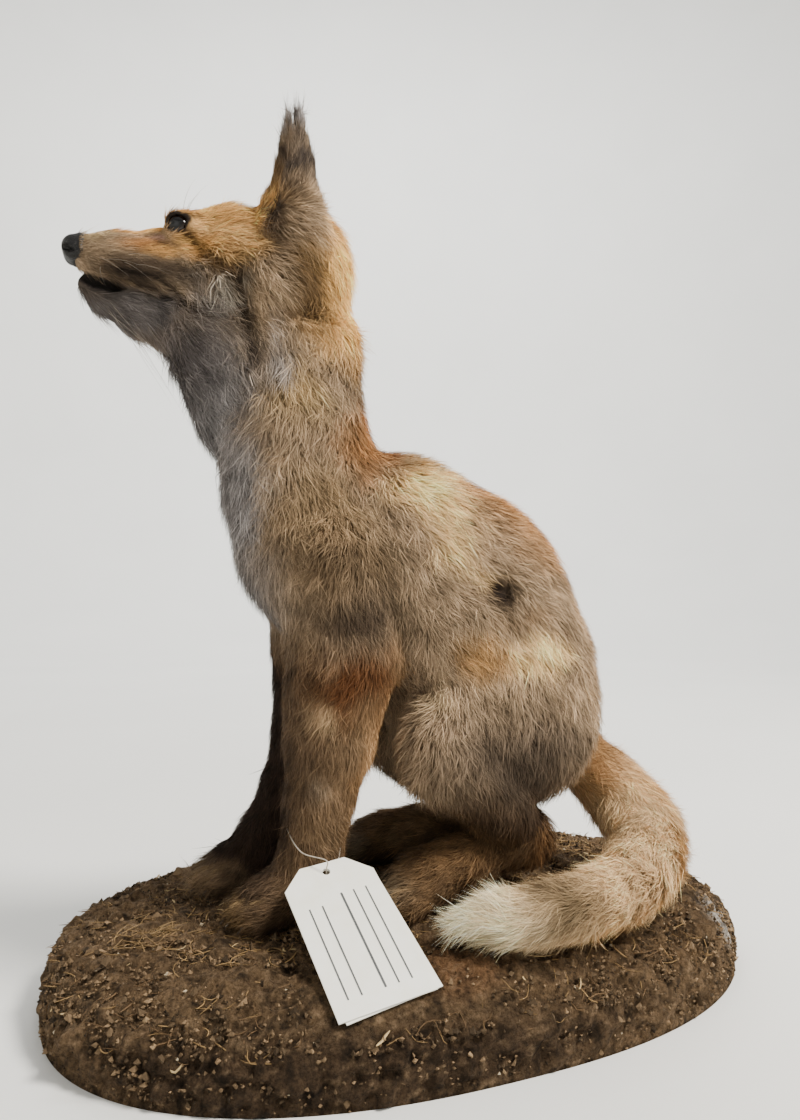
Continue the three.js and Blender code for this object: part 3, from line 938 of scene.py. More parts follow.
def merged(shapes: Sequence[Shape]) -> Shape:
    """Join many shapes.

    Args:
        shapes: The shapes, with faces of as many corners.

    Returns:
        One shape.
    """
    starts = np.cumsum([0] + [len(shape.verts) for shape in shapes[:-1]])
    colours = [shape.colours for shape in shapes if shape.colours is not None]
    return Shape(
        np.concatenate([shape.verts for shape in shapes]),
        np.concatenate([shape.faces + start for shape, start in zip(shapes, starts)]),
        np.concatenate(colours) if colours else None,
    )


def bands(rings: int, sides: int, closed: bool = False) -> Array:
    """Join rings of points by bands of quads.

    Args:
        rings: How many rings there are.
        sides: Points in each ring.
        closed: Whether the last ring joins the first.

    Returns:
        The quads, which face out where each ring turns left round the way to the next.
    """
    i = np.arange(rings if closed else rings - 1)[:, None]
    j = np.arange(sides)[None]
    this, after, k = i * sides, (i + 1) % rings * sides, (j + 1) % sides
    return np.stack([this + j, this + k, after + k, after + j], axis=-1).reshape(-1, 4)


# ---- markings
@dataclass(frozen=True)
class Patch:
    """A soft-edged patch of colour on the coat.

    Args:
        centre: Its middle, on the left side where it stands on both.
        radii: How far it reaches along X, Y and Z.
        colour: Its linear colour.
        strength: Its share in the middle, from 0 to 1.
        both: Whether it stands on both sides.
        edge: Where the soft edge starts, as a share of the radii.
    """

    centre: Vec3
    radii: Vec3
    colour: Array
    strength: float = 1.0
    both: bool = True
    edge: float = 0.35

    def share(self, p: Array) -> Array:
        """Say how much of the patch shows at points.

        Args:
            p: The points.

        Returns:
            Shares from 0 to 1.
        """
        q = mirrored(p) if self.both else p
        r = np.sqrt((((q - np.array(self.centre)) / np.array(self.radii)) ** 2).sum(axis=1))
        return self.strength * (1.0 - smoothstep(self.edge, 1.0, r))


def painted(tones: Array, p: Array, patches: Sequence[Patch]) -> Array:
    """Lay patches of colour over tones, one after another.

    Args:
        tones: The tones of the points.
        p: The points.
        patches: The patches.

    Returns:
        The new tones.
    """
    for patch in patches:
        tones = mixed(tones, patch.colour, patch.share(p))
    return tones


class Tone:
    """The coat's named colours."""

    OCHRE = srgb(236, 184, 116)
    GOLD = srgb(250, 204, 136)
    FAWN = srgb(174, 152, 126)
    OLIVE = srgb(150, 124, 88)
    CREAM = srgb(248, 222, 178)
    ASH = srgb(184, 179, 178)
    BARK = srgb(128, 102, 74)
    WHITE = srgb(250, 242, 226)
    SOOT = srgb(52, 46, 42)
    SABLE = srgb(70, 56, 46)
    PINK = srgb(196, 160, 148)
    DUSK = srgb(116, 106, 97)
    DRAB = srgb(96, 80, 64)
    COCOA = srgb(100, 81, 60)
    GINGER = srgb(186, 138, 90)
    BUTTER = srgb(248, 214, 160)
    MOSS = srgb(112, 90, 62)
    SAND = srgb(226, 196, 156)
    MILK = np.array([0.96, 0.80, 0.56])


class Markings:
    """The colours of skin and coat, as one rule for both."""

    def _torso(self) -> list[Patch]:
        """List the patches of the trunk, back, flank and haunch.

        Returns:
            The patches, the later ones over the earlier.
        """
        t = Tone
        return [
            Patch((0, -106, 250), (62, 40, 110), t.ASH * 0.79, 0.9, edge=0.4),
            Patch((0, -82, 194), (52, 44, 60), t.ASH * 0.48, 0.9, edge=0.1),
            Patch((42, -58, 238), (34, 40, 40), srgb(164, 140, 108), 0.85, edge=0.25),
            Patch((46, -45, 208), (32, 38, 34), srgb(126, 107, 84), 0.9, edge=0.25),
            Patch((46, -36, 186), (34, 46, 30), srgb(82, 71, 60), 0.8, edge=0.05),
            # painted shadow: a thin dark line where the shoulder's fur hangs over the top of the foreleg
            Patch((50, -46, 187), (26, 34, 6), t.SABLE, 0.5, edge=0.1),
            Patch((0, -30, 282), (64, 42, 24), t.GINGER, 0.95, edge=0.2),
            Patch((18, -34, 268), (36, 28, 20), t.GINGER * 0.8, 0.8, edge=0.1),
            Patch((32, 4, 252), (50, 36, 30), t.BUTTER * 1.2, 1.0, edge=0.1),
            Patch((44, 12, 228), (24, 20, 26), t.BUTTER, 0.8, edge=0.05),
            Patch((0, 60, 238), (54, 64, 64), srgb(192, 147, 98), 0.95, edge=0.2),
            Patch((0, 104, 172), (44, 46, 70), srgb(186, 156, 124), 0.85, edge=0.2),
            # painted shade in the pinched fold of the flank
            Patch((DENT[0], DENT[1] - 3, DENT[2] + 3), (20, 17, 10), t.SABLE * 0.7, 1.0, False, 0.3),
            Patch((46, 22, 208), (16, 16, 8), t.BUTTER, 0.5, False, 0.1),
            Patch((48, 56, 168), (32, 28, 17), t.BUTTER * 1.2, 1.0, False, 0.15),
            Patch((50, 22, 170), (26, 26, 16), t.OCHRE * 0.8, 0.65, False, 0.1),
            Patch((52, 44, 188), (20, 30, 9), t.BARK * 1.1, 0.5, edge=0.1),
            Patch((50, 48, 122), (34, 74, 34), srgb(102, 90, 78), 0.9, edge=0.1),
            Patch((52, -4, 148), (14, 18, 16), t.CREAM * 0.72, 0.7, edge=0.1),
            Patch((46, 40, 100), (46, 80, 34), srgb(86, 75, 65), 0.9, edge=0.05),
            Patch((10, 30, 84), (60, 76, 26), t.SABLE, 0.85, edge=0.1),
            Patch((40, -18, 142), (26, 18, 50), t.DRAB, 0.8, edge=0.2),
        ]

    def _head(self) -> list[Patch]:
        """List the patches of the neck, the head and the face.

        Returns:
            The patches, the later ones over the earlier.
        """
        t = Tone
        return [
            Patch((0, -78, 300), (60, 60, 46), t.FAWN * 0.85, 0.8, edge=0.4),
            Patch((0, -112, 296), (60, 38, 46), t.ASH * 0.62, 0.9, edge=0.4),
            Patch((0, -118, 318), (46, 36, 34), srgb(120, 113, 111), 0.95, edge=0.3),
            Patch((34, -70, 298), (28, 24, 22), t.BUTTER * 0.52, 0.75, edge=0.15),
            Patch((38, -82, 318), (18, 14, 26), t.ASH * 0.72, 0.9, edge=0.2),
            Patch((0, -48, 360), (52, 40, 60), t.GOLD * 0.93, 1.0, edge=0.5),
            Patch((30, -26, 346), (30, 20, 34), t.GOLD, 0.9, edge=0.3),
            Patch((37, -62, 348), (24, 23, 26), t.MOSS * 0.9, 1.0, edge=0.2),
            Patch((36, -47, 344), (22, 18, 26), t.MOSS, 0.9, edge=0.2),
            Patch((0, -96, 386), (52, 56, 30), srgb(236, 190, 128), 1.0, edge=0.5),
            Patch((24, -118, 364), (14, 20, 9), t.OCHRE, 1.0, edge=0.3),
            Patch((30, -98, 362), (20, 22, 16), srgb(216, 178, 124), 0.9, edge=0.2),
            Patch((28, -120, 350), (20, 22, 9.5), t.DUSK, 0.9, edge=0.2),
            Patch((30, -112, 338), (20, 20, 12), t.ASH * 0.62, 0.75, edge=0.2),
            Patch((37, -103, 333), (13, 8, 25), t.WHITE * 0.82, 1.0, edge=0.3),
            Patch((34, -86, 394), (14, 10, 24), t.ASH * 0.42, 0.95, edge=0.4),
            Patch((34, -83, 376), (15, 10, 26), srgb(106, 91, 77), 0.95, edge=0.3),
            Patch((36, -70, 391), (14, 11, 14), srgb(112, 98, 84), 0.85, edge=0.3),
            Patch((0, -140, 378), (17, 50, 12), srgb(236, 184, 112), 1.0, edge=0.5),
            Patch((14, -142, 365), (10, 22, 7), t.GINGER * 0.95, 0.9, edge=0.1),
            Patch((8, -165, 369), (12, 9, 6), t.CREAM * 0.8, 0.8, edge=0.2),
            Patch((14, -148, 351.6), (14, 48, 10.5), srgb(86, 74, 63), 0.95, edge=0.3),
            Patch((16, -132, 361), (9, 15, 5), t.OCHRE * 0.9, 0.8, edge=0.2),
            Patch((0, -146, 336), (28, 44, 14), srgb(109, 104, 103), 0.95, edge=0.5),
            Patch((0, -160, 344), (16, 22, 8), srgb(80, 72, 66), 0.9, edge=0.4),
            Patch((0, -174, 361), (16, 6, 14), t.SOOT, 0.9, edge=0.4),
            Patch((10, -133, 377), (6, 7.0, 3.0), t.SABLE, 0.9),
            Patch((15, -134, 368.5), (6, 7, 3.4), t.PINK * 0.9, 0.7),
            Patch((18, -120, 366.5), (7, 9, 2.6), t.GOLD, 0.9),
            Patch((17, -114.5, 378.5), (6, 5, 2.6), t.SABLE, 0.9),
        ]

    def _limb(self, limb: Limb) -> tuple[Array, list[Patch]]:
        """List the patches of a leg or the tail.

        Args:
            limb: The limb.

        Returns:
            Its plain colour, and the patches over it.
        """
        t = Tone
        if limb is Limb.FORELEG_RIGHT:
            # darker than the left foreleg: partly its own dark stocking, partly painted shade on the far
            # side
            return t.SABLE * 0.85, [
                Patch((28, -40, 176), (40, 40, 30), t.BARK, 0.6),
                Patch((29, -96, 42), (34, 38, 20), srgb(150, 130, 106), 0.95, edge=0.3),
                Patch((-17, -96, 48), (12, 22, 16), srgb(148, 126, 100), 0.8, False, 0.2),
            ]
        if limb is Limb.FORELEG_LEFT:
            return srgb(126, 105, 82), [
                Patch((28, -26, 140), (40, 26, 74), srgb(182, 148, 110), 0.9, edge=0.1),
                Patch((28, -34, 92), (30, 20, 50), srgb(170, 134, 96), 0.8, edge=0.1),
                Patch((46, -42, 160), (26, 38, 30), srgb(92, 54, 24), 0.85, edge=0.1),
                Patch((46, -60, 146), (13, 12, 12), srgb(206, 178, 142), 0.8, edge=0.1),
                Patch((28, -80, 120), (30, 27, 96), srgb(88, 74, 62), 0.95, edge=0.2),
                Patch((28, -80, 80), (30, 20, 44), t.SABLE * 0.8, 0.75, edge=0.2),
                Patch((44, -64, 106), (9, 9, 13), srgb(150, 134, 116), 0.6, edge=0.1),
                Patch((28, -84, 46), (34, 40, 16), srgb(52, 41, 30), 0.85, edge=0.3),
                Patch((28, -96, 44), (34, 16, 12), t.OLIVE * 0.62, 0.7, edge=0.3),
            ]
        if limb in (Limb.HINDLEG_LEFT, Limb.HINDLEG_RIGHT):
            # painted light: the right hind leg, in shade under the belly, is made lighter than the left
            light = 1.15 if limb is Limb.HINDLEG_LEFT else 1.4
            return t.COCOA * light, [
                Patch((34, 20, 66), (30, 44, 12), t.BARK, 0.8, edge=0.2),
                Patch((30, 64, 68), (26, 16, 26), t.GINGER * 0.5, 0.5, edge=0.1),
                Patch((30, 44, 90), (44, 44, 16), t.SABLE * 0.9, 0.9, edge=0.2),
                Patch((36, -22, 52), (26, 18, 14), srgb(130, 117, 98), 0.75, edge=0.3),
                # painted light on the right hind leg's inner side, which stands in shade
                Patch((-24, -4, 64), (14, 44, 20), srgb(168, 142, 112), 0.85, False, 0.2),
                Patch((30, 20, 42), (40, 60, 9), t.SABLE, 0.8),
            ]
        return t.SAND, [
            Patch((4, 100, 108), (40, 34, 34), srgb(160, 119, 74), 0.95, edge=0.2),
            Patch((20, 132, 84), (30, 24, 34), srgb(224, 182, 128), 0.7, edge=0.1),
            Patch((102, 42, 60), (20, 38, 20), srgb(114, 99, 77), 0.85, edge=0.1),
            Patch((88, 2, 50), (34, 42, 32), t.MILK, 1.0, edge=0.3),
        ]

    def colour(self, p: Array, limb: Array) -> Array:
        """Colour points of the skin.

        Args:
            p: The points.
            limb: Which limb each is on.

        Returns:
            Linear colours.
        """
        wobble = np.stack(
            [7.0 * noise(p, 18.0, 40 + n) + 2.6 * noise(p, 6.0, 44 + n) for n in range(3)], axis=1
        )
        q = p + wobble
        q = np.where((p[:, 1] < -100)[:, None], p + 0.3 * wobble, q)
        paws = (p[:, 2] < GROUND + 22.0) & (limb != Limb.TAIL.value)
        q = np.where(paws[:, None], p + 0.15 * wobble, q)
        made = painted(np.tile(Tone.FAWN, (len(p), 1)), q, self._torso() + self._head())
        for which in (*PAWS, Limb.TAIL):
            mine = limb == which.value
            if not mine.any():
                continue
            base, patches = self._limb(which)
            share = np.ones(int(mine.sum()))
            if which in PAWS:
                patches += [
                    Patch((abs(x), y, z), (3.6, 9.0, 8.0), srgb(146, 124, 92), 0.85, edge=0.2)
                    for x, y, z in PAWS[which].ends(12.0)
                ]
                low, high = (160, 190) if "FORE" in which.name else (84, 108)
                share = 1.0 - smoothstep(low, high, q[mine, 2])
            own = painted(np.tile(base, (len(share), 1)), q[mine], patches)
            made[mine] = mixed(made[mine], own, share)
        made = self._trim(p, made)
        mottle = 1.0 + 0.20 * noise(p, 12.0, 50) + 0.12 * noise(p, 4.0, 51)
        return np.clip((made * mottle[:, None]) ** 1.18, 0.0, 1.0)

    def _trim(self, p: Array, made: Array) -> Array:
        """Darken the lids, the lips and the ears, and lay painted shade in the folds and the ears' hollows.

        Args:
            p: The points.
            made: Their colours so far.

        Returns:
            Their colours.
        """
        edge, reach = EYE.opening(p)
        high = smoothstep(EYE.centre[2] - 1.0, EYE.centre[2] + 4.0, p[:, 2])
        rear = smoothstep(EYE.centre[1] - 1.0, EYE.centre[1] + 4.5, p[:, 1])
        thick = 1.5 + 1.0 * high + 0.9 * rear
        rim = (1.0 - smoothstep(0.5, 1.0, edge / thick)) * (reach < EYE.radius + 4.5)
        made = mixed(made, srgb(46, 35, 28), rim)
        ring = (1.0 - smoothstep(0.35, 0.7, np.abs(edge - 0.25))) * (reach < EYE.radius + 2.5)
        ring *= (1.0 - rear) * (1.0 - 0.7 * high)
        made = mixed(made, srgb(150, 138, 126), 0.55 * ring)
        lip = (1.0 - smoothstep(0.1, 1.5, Mouth.gap(p))) * (1.0 - smoothstep(-152, -145, p[:, 1]))
        made = mixed(made, Tone.SOOT * 0.45, 0.95 * lip)
        # painted shade in the folds, with the lips' own dark skin along the mouth
        for crease in CREASES:
            made = mixed(made, crease.colour, 0.85 * crease.share(p))
        for side in (1.0, -1.0):
            ear = Ear(side)
            back = smoothstep(386, 400, p[:, 2] + 4.0 * noise(p, 5.0, 79)) * (ear.outer(p) < 4.0)
            made = mixed(made, srgb(62, 56, 54), 0.9 * back * (0.8 + 0.3 * noise(p, 6.0, 78)))
            tip = smoothstep(420, 430, p[:, 2]) * (0.5 + 0.7 * noise(p, 2.5, 77))
            made = mixed(made, Tone.ASH, 0.6 * tip)
            # painted shade in the ear's hollow
            hollow = (1.0 - smoothstep(-0.5, 1.5, np.abs(ear.cup(p)))) * (p[:, 2] < 420)
            made = mixed(made, srgb(96, 80, 66), 0.5 * hollow)
        return made


# ---- materials
@dataclass(frozen=True)
class Grain:
    """A noise in the piece's own space.

    Args:
        scale: Features per metre.
        detail: Octaves.
        rough: How strongly the small octaves show.
        cells: Whether it is made of cells and not of clouds.
    """

    scale: float
    detail: float = 4.0
    rough: float = 0.55
    cells: bool = False


@dataclass(frozen=True)
class Finish:
    """One procedural finish.

    Args:
        name: The material's name.
        colour: Its plain linear colour, which shows where nothing else gives one.
        roughness: How matt it is.
        specular: How strongly it shines.
        glaze: How thick a clear coat lies on it.
        varied: Grains that multiply the mesh's own colours, each with what 0 and 1 become.
        ramp: A grain with the colours of its low and high places, or None.
        high: Where the ramp's high colour starts.
        bump: A grain that raises the surface, with its strength and depth in metres, or None.
    """

    name: str
    colour: Array
    roughness: float
    specular: float = 0.5
    glaze: float = 0.0
    varied: tuple[tuple[Grain, float, float], ...] = ()
    ramp: tuple[Grain, Array, Array] | None = None
    high: float = 0.7
    bump: tuple[Grain, float, float] | None = None

    @staticmethod
    def _node(tree: bpy.types.NodeTree, kind: str, values: dict[str, object]) -> bpy.types.Node:
        """Add a node, with some of its inputs set or joined.

        Args:
            tree: The material's nodes.
            kind: The node's type.
            values: For each input a value, or the output that feeds it.

        Returns:
            The node.
        """
        made = tree.nodes.new(kind)
        for name, value in values.items():
            if isinstance(value, bpy.types.NodeSocket):
                tree.links.new(value, made.inputs[name])
            else:
                made.inputs[name].default_value = value
        return made

    def _grain(self, tree: bpy.types.NodeTree, grain: Grain) -> bpy.types.NodeSocket:
        """Add a grain.

        Args:
            tree: The material's nodes.
            grain: The grain.

        Returns:
            Its output from 0 to 1.
        """
        place = self._node(tree, "ShaderNodeTexCoord", {}).outputs["Object"]
        if grain.cells:
            values = {"Vector": place, "Scale": grain.scale}
            return self._node(tree, "ShaderNodeTexVoronoi", values).outputs["Distance"]
        values = {
            "Vector": place, "Scale": grain.scale, "Detail": grain.detail, "Roughness": grain.rough
        }
        return self._node(tree, "ShaderNodeTexNoise", values).outputs["Fac"]

    def _varied(self, tree: bpy.types.NodeTree) -> bpy.types.NodeSocket:
        """Multiply the mesh's own colours by the grains.

        Args:
            tree: The material's nodes.

        Returns:
            The colour.
        """
        own = self._node(tree, "ShaderNodeVertexColor", {})
        own.layer_name = COLOURS
        made = own.outputs["Color"]
        for grain, low, high in self.varied:
            span = {"Value": self._grain(tree, grain), "To Min": low, "To Max": high}
            factor = self._node(tree, "ShaderNodeMapRange", span).outputs["Result"]
            mix = tree.nodes.new("ShaderNodeMix")
            mix.data_type, mix.blend_type = "RGBA", "MULTIPLY"
            mix.inputs["Factor"].default_value = 1.0
            tree.links.new(made, mix.inputs["A"])
            tree.links.new(factor, mix.inputs["B"])
            made = mix.outputs["Result"]
        return made

    def _ramped(self, tree: bpy.types.NodeTree) -> bpy.types.NodeSocket:
        """Turn the ramp's grain into colours.

        Args:
            tree: The material's nodes.

        Returns:
            The colour.
        """
        grain, dark, light = self.ramp
        made = self._node(tree, "ShaderNodeValToRGB", {"Fac": self._grain(tree, grain)})
        for element, place, colour in zip(made.color_ramp.elements, (0.3, self.high), (dark, light)):
            element.position = place
            element.color = (*colour.tolist(), 1.0)
        return made.outputs["Color"]

    @cached_property
    def material(self) -> bpy.types.Material:
        """Make the material, when it is first asked for.

        Returns:
            The material.
        """
        made = bpy.data.materials.new(self.name)
        made.use_nodes = True
        tree = made.node_tree
        sockets = tree.nodes["Principled BSDF"].inputs
        sockets["Base Color"].default_value = (*self.colour.tolist(), 1.0)
        sockets["Roughness"].default_value = self.roughness
        sockets["Specular IOR Level"].default_value = self.specular
        sockets["Coat Weight"].default_value = self.glaze
        if self.varied:
            tree.links.new(self._varied(tree), sockets["Base Color"])
        if self.ramp:
            tree.links.new(self._ramped(tree), sockets["Base Color"])
        if self.bump:
            grain, strength, depth = self.bump
            values = {"Height": self._grain(tree, grain), "Strength": strength, "Distance": depth}
            tree.links.new(self._node(tree, "ShaderNodeBump", values).outputs["Normal"], sockets["Normal"])
        return made


HIDE = Finish(
    "hide", Tone.FAWN, 0.85, 0.2, varied=((Grain(900.0, 3.0), 0.75, 1.1),),
    bump=(Grain(1400.0, 3.0), 0.5, 0.0008),
)
HAIR = Finish("hair", Tone.FAWN, 0.78, 0.14, varied=((Grain(260.0, 2.0), 0.86, 1.14),))
GLASS_EYE = Finish(
    "glass_eye", srgb(26, 16, 12), 0.05, 0.3, glaze=0.25, varied=((Grain(700.0), 0.7, 1.2),)
)
NOSE_LEATHER = Finish(
    "nose_leather", srgb(34, 31, 31), 0.38, 0.33,
    ramp=(Grain(500.0), srgb(7, 6, 6), srgb(19, 17, 16)), high=0.75,
    bump=(Grain(1500.0, cells=True), 0.5, 0.0005),
)
CLAW_HORN = Finish(
    "claw_horn", srgb(60, 50, 42), 0.35,
    ramp=(Grain(900.0), srgb(40, 33, 28), srgb(96, 82, 66)), high=0.8,
)
WHISKER = Finish(
    "whisker", srgb(150, 138, 120), 0.4,
    ramp=(Grain(300.0), srgb(96, 84, 70), srgb(160, 148, 130)), high=0.8,
)
EARTH = Finish(
    "earth", srgb(110, 86, 62), 0.95, 0.15,
    varied=((Grain(520.0, 8.0, 0.85), -2.1, 4.8), (Grain(130.0, 4.0, 0.6), 0.5, 1.5)),
    bump=(Grain(420.0, 8.0, 0.85), 1.0, 0.012),
)
CRUMB = Finish(
    "crumb", srgb(120, 92, 66), 0.9, 0.2, varied=((Grain(1500.0), 0.75, 1.25),),
    bump=(Grain(2500.0), 0.6, 0.0006),
)
CARD = Finish(
    "tag_card", srgb(244, 241, 228), 0.55,
    ramp=(Grain(120.0, 3.0), srgb(250, 248, 236), srgb(255, 254, 246)),
    bump=(Grain(3000.0, 2.0), 0.08, 0.0002),
)
INK = Finish(
    "tag_ink", srgb(74, 76, 78), 0.5, ramp=(Grain(1200.0, 3.0), srgb(66, 68, 70), srgb(92, 94, 95))
)
THREAD = Finish(
    "tag_thread", srgb(176, 166, 150), 0.6,
    ramp=(Grain(900.0, 2.0), srgb(158, 148, 132), srgb(190, 180, 164)),
    bump=(Grain(3500.0, 2.0), 0.5, 0.0002),
)
FLOOR = Finish(
    "studio", srgb(236, 236, 233), 0.9,
    ramp=(Grain(3.0, 2.0), srgb(234, 234, 231), srgb(238, 238, 235)),
)


# ---- skin and coat
@dataclass
class Skin:
    """The hide of the whole fox.

    Args:
        body: The body's field.
        markings: The rule for colours.
        detail: The head's mesh spacing.
        trunk: How much wider the body's spacing is.
        shade: How bright the skin is beside the coat's colours, as painted shade of the skin under the
            coat.
        shape: The skin, once it has grown.
    """

    body: BodyField
    markings: Markings
    detail: float = 1.15
    trunk: float = 2.1
    shade: float = 0.72
    shape: Shape | None = None

    def grow(self) -> Shape:
        """Mesh the skin.

        Returns:
            Its shape, coloured.
        """
        rule = SkinField(self.body)
        head = mesh_level(
            lambda p: rule.distance(p, head=True),
            np.array([-48.0, -184.0, 322.0]),
            np.array([48.0, -22.0, 442.0]),
            self.detail,
        )
        trunk = mesh_level(
            lambda p: rule.distance(p, head=False),
            np.array([-80.0, -126.0, GROUND - 2.0]),
            np.array([122.0, 152.0, 334.0]),
            self.detail * self.trunk,
        )
        made = merged([Shape(*head), Shape(*trunk)])
        limb = self.body.sample(made.verts).limb
        # painted shade: the skin is darkened as if in the coat's shade
        made.colours = self.markings.colour(made.verts, limb) * self.shade
        self.shape = made
        return made

    def build(self) -> Piece:
        """Make the skin's object."""
        return (self.shape or self.grow()).to_object("skin", HIDE)


class Part(Enum):
    """A coat piece, with the line that its unwrap goes round."""

    FACE = ((0, -172, 356), (0, -104, 362))
    HEAD = ((0, -104, 362), (0, -40, 368))
    NECK = ((0, -70, 340), (0, -62, 262))
    CHEST = ((0, -62, 262), (0, -40, 160))
    SIDE = ((0, -30, 250), (0, 60, 110))
    FORELEG_LEFT = ((28, -46, 190), (27, -64, 40))
    FORELEG_RIGHT = ((-28, -46, 190), (-28, -76, 40))
    HINDLEG_LEFT = ((26, 70, 80), (33, -26, 48))
    HINDLEG_RIGHT = ((-26, 70, 80), (-50, -26, 48))
    TAIL_ROOT = ((0, 90, 120), (34, 128, 66))
    TAIL_TIP = ((60, 110, 62), (92, 0, 50))

    def unwrap(self, p: Array) -> Array:
        """Unwrap points of the skin round the part's line.

        Args:
            p: The points.

        Returns:
            UVs from 0 to 1.
        """
        a, b = (np.array(x, float) for x in self.value)
        along = b - a
        length = float(np.linalg.norm(along))
        along /= length
        guide = np.array([1.0, 0.0, 0.0]) if abs(along[0]) < 0.8 else np.array([0.0, 0.0, 1.0])
        s = unit(np.cross(along, guide)[None])[0]
        r = np.cross(along, s)
        q = p - a
        turn = np.arctan2(q @ s, q @ r) / (2.0 * np.pi) + 0.5
        height = (q @ along) / length
        return np.stack([0.004 + 0.99 * turn, 0.12 + 0.76 * np.clip(height, -0.15, 1.15)], axis=1)


@dataclass
class Coat:
    """The fur: locks of mesh rooted in the skin.

    Args:
        skin: The skin that carries it.
        tufts: How many locks in all.
        thicker: Factor on the width of every lock.
        limit: The most triangles of one piece.
    """

    skin: Skin
    tufts: int = 465000
    thicker: float = 1.0
    limit: int = 199000

    def _roots(self, rng: np.random.Generator) -> tuple[Array, Array, Sample]:
        """Scatter roots over the skin, denser where the hair is short.

        Args:
            rng: The source of randomness.

        Returns:
            The roots, the skin's normals there and what the body's field says there.
        """
        shape = self.skin.shape or self.skin.grow()
        f, v = shape.faces, shape.verts
        middle = v[f].mean(axis=1)
        area = 0.5 * np.linalg.norm(np.cross(v[f[:, 2]] - v[f[:, 0]], v[f[:, 3]] - v[f[:, 1]]), axis=1)
        sample = self.skin.body.sample(middle)
        y, z = middle[:, 1], middle[:, 2]
        weight = area * np.interp(sample.coat, [1.0, 2.0, 4.0, 7.0, 9.0], [3.4, 2.6, 1.5, 1.0, 0.95])
        weight *= np.where(sample.limb == Limb.TAIL.value, 1.7, 1.0)
        bare = (sample.distance + sample.coat < -1.5) | (z < GROUND + 0.5)
        edge, reach = EYE.opening(middle)
        bare |= (edge < 1.5 + 0.8 * (y > EYE.centre[1] + 2.0)) & (reach < EYE.radius + 4.0)
        bare |= (y < -170.6) & (z > 353.0)
        bare |= (Mouth.gap(middle) < np.where(z > 348.0, 0.8, 2.6)) & (y < -143.0)
        over_dent = ((y - DENT[1] + 3.0) / 9.0) ** 2 + ((z - DENT[2] - 4.5) / 7.0) ** 2
        bare |= (over_dent < 1.0) & (middle[:, 0] > 20.0)
        weight[bare] = 0.0
        pick = np.searchsorted(np.cumsum(weight) / weight.sum(), rng.random(self.tufts))
        pick = np.minimum(pick, len(f) - 1)
        u, w = rng.random(self.tufts), rng.random(self.tufts)
        c = v[f[pick]]
        top = c[:, 0] + (c[:, 1] - c[:, 0]) * u[:, None]
        low = c[:, 3] + (c[:, 2] - c[:, 3]) * u[:, None]
        roots = top + (low - top) * w[:, None]
        normals = unit(shape.vertex_normals()[f[pick]].mean(axis=1))
        return roots, normals, self.skin.body.sample(roots)

    def _part(self, p: Array, limb: Array) -> Array:
        """Sort roots into coat pieces.

        Args:
            p: The roots.
            limb: The limb of each.

        Returns:
            The place of each root's piece in Part.
        """
        order = list(Part)
        made = np.full(len(p), order.index(Part.SIDE))
        y, z = p[:, 1], p[:, 2]
        torso = (limb == Limb.TORSO.value) | (limb == Limb.HAUNCH.value)
        made[torso & (y < -22 - (z - 160) * 0.12)] = order.index(Part.CHEST)
        made[torso & (z > 268 + (y + 60) * 0.2)] = order.index(Part.NECK)
        made[torso & (z > 332 + (y + 68) * 0.4)] = order.index(Part.HEAD)
        made[torso & (y < -108) & (z > 300)] = order.index(Part.FACE)
        for leg in PAWS:
            made[limb == leg.value] = order.index(Part[leg.name])
        tail = limb == Limb.TAIL.value
        made[tail] = order.index(Part.TAIL_ROOT)
        made[tail & (p[:, 0] > 50)] = order.index(Part.TAIL_TIP)
        return made

    def build(self) -> list[Piece]:
        """Make the coat's objects.

        Returns:
            The objects.
        """
        rng = np.random.default_rng(SEED)
        roots, normals, sample = self._roots(rng)
        part = self._part(roots, sample.limb)
        made = []
        for number, which in enumerate(Part):
            mine = np.flatnonzero(part == number)
            pieces = math.ceil(len(mine) * 3 / self.limit)
            for turn in range(pieces):
                some = mine[turn::pieces]
                locks = Locks(
                    roots[some], normals[some], sample.lie[some], sample.coat[some],
                    sample.limb[some], which, self.thicker,
                )
                seed = np.random.default_rng(SEED + 100 * number + turn)
                shape = locks.shape(self.skin.markings, seed)
                made.append(shape.to_object(f"coat_{which.name.lower()}_{turn + 1}", HAIR))
        return made


